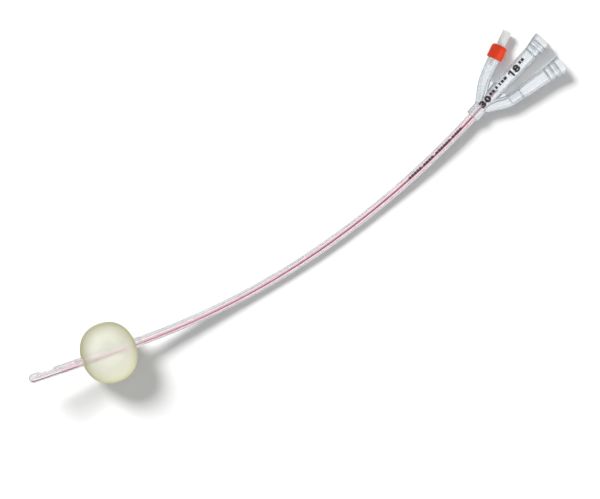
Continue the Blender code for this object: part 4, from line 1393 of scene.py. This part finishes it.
def make_world():
    """Soft light from all round, brighter overhead than at the horizon, and pale through a clear piece."""
    world = bpy.data.worlds.new("studio")
    world.use_nodes = True
    bpy.context.scene.world = world
    tree = world.node_tree
    sky = mapped(tree, height_of(tree, "Generated"), (0, ZENITH_FROM), HORIZON, ZENITH)
    through = maths(tree, "MULTIPLY", ray(tree, "Transmission"), SKY_THROUGH)
    strength = maths(tree, "MAXIMUM", sky, through)
    plug(tree, tree.nodes["Background"], {"Color": WHITE, "Strength": strength})


def linked(name, pieces, state):
    """A collection that a lamp's links are read from."""
    made = bpy.data.collections.new(name)
    for piece in pieces:
        made.objects.link(piece)
    for member in made.collection_objects:
        member.light_linking.link_state = state
    return made


def make_lamp(name, kind, turn, height):
    """A lamp that shines at the middle of the floor, and the way to it."""
    lamp = placed(name, bpy.data.lights.new(name, kind))
    flat_way = Vector((math.cos(turn), math.sin(turn), 0)) * math.cos(height)
    towards = flat_way + Vector((0, 0, math.sin(height)))
    lamp.rotation_euler = towards.to_track_quat("Z", "Y").to_euler()
    return lamp, towards


def make_lamps(floor, clear):
    """A lamp that throws the shadow on the floor, and soft boxes for all but the floor.

    The soft boxes shine on through the clear pieces.
    """
    strength, size, height, turn = SHADOW_LAMP
    lamp, _ = make_lamp("shadow_lamp", "SUN", turn, height)
    lamp.data.energy = strength
    lamp.data.angle = size
    lamp.light_linking.receiver_collection = linked("shadow_lamp_lights", [floor], "INCLUDE")
    for name, turn, height, width, length, distance, brightness in SOFT_BOXES:
        lamp, towards = make_lamp(name, "AREA", turn, height)
        lamp.data.shape = "RECTANGLE"
        lamp.data.size = length
        lamp.data.size_y = width
        lamp.data.energy = brightness * math.pi * width * length
        lamp.location = towards * distance
        lamp.visible_camera = False
        lamp.light_linking.receiver_collection = linked(name + "_lights", [floor], "EXCLUDE")
        lamp.light_linking.blocker_collection = linked(name + "_passes", clear, "EXCLUDE")


def dress(node, finish):
    """Gives one of the solids a better material."""
    piece = frame["nodes"][node]
    piece.data.materials.clear()
    piece.data.materials.append(finish)


def main():
    bpy.context.scene.view_settings.view_transform = "Standard"
    make_camera()
    soft_pvc = clear_pvc(
        "soft_pvc", TUBE_COLOUR, TUBE_EDGE_SHADE, "painted_stripe_glow", PAINTED_GLOW_PINK, clearness=0.88, roughness=0.12
    )
    hub_pvc = clear_pvc("hub_pvc", HUB_COLOUR, HUB_EDGE_SHADE, "rib", RIB_SHADE, clearness=0.86, roughness=0.2)
    tube, path = make_tube(soft_pvc)
    stripe = make_stripe(stripe_plastic())
    stretched = latex("latex", CREAM, LATEX_EDGE_TINT_AND_SHADE, veil=0.35, edge_veil=0.92, roughness=0.52, shade=0.88)
    # The inner face is a painted-shade copy of the latex, darker than its outer face
    lining = latex(
        "latex_lining", LINING_SHADED_CREAM, LATEX_EDGE_TINT_AND_SHADE, veil=0.06, edge_veil=0.5, roughness=0.5, depth_veil=0.85
    )
    bonded = latex("bonded_latex", BONDED_LATEX, BONDED_EDGE, veil=0.10, edge_veil=0.30, roughness=0.2)
    balloon = make_balloon(stretched, lining, bonded)
    black = fine("ink", INK_BLACK, 0.3, 0.5)
    shaft_print = make_shaft_print(tube, black)
    tuple(SHAFT_AXIS(SOCKET_DEPTH)[0])
    hub = make_hub(hub_pvc)
    funnel = make_irrigation_funnel(hub_pvc)
    make_print(hub, black)
    white = moulded("valve_white", VALVE_WHITE, roughness=0.4, clearness=0.7)
    make_valve_body(white)
    make_collar(moulded("collar_orange", COLLAR_ORANGE, roughness=0.4, shine=0.2))
    dress("valve_plunger", white)
    dress("valve_seal", moulded("seal_rubber", SEAL_BLACK, roughness=0.6))
    make_spring(fine("steel", SPRING_STEEL, 0.2, 0.35, metallic=1.0))
    floor = make_floor()
    make_world()
    make_lamps(floor, [tube, balloon[0], hub, funnel])


main()
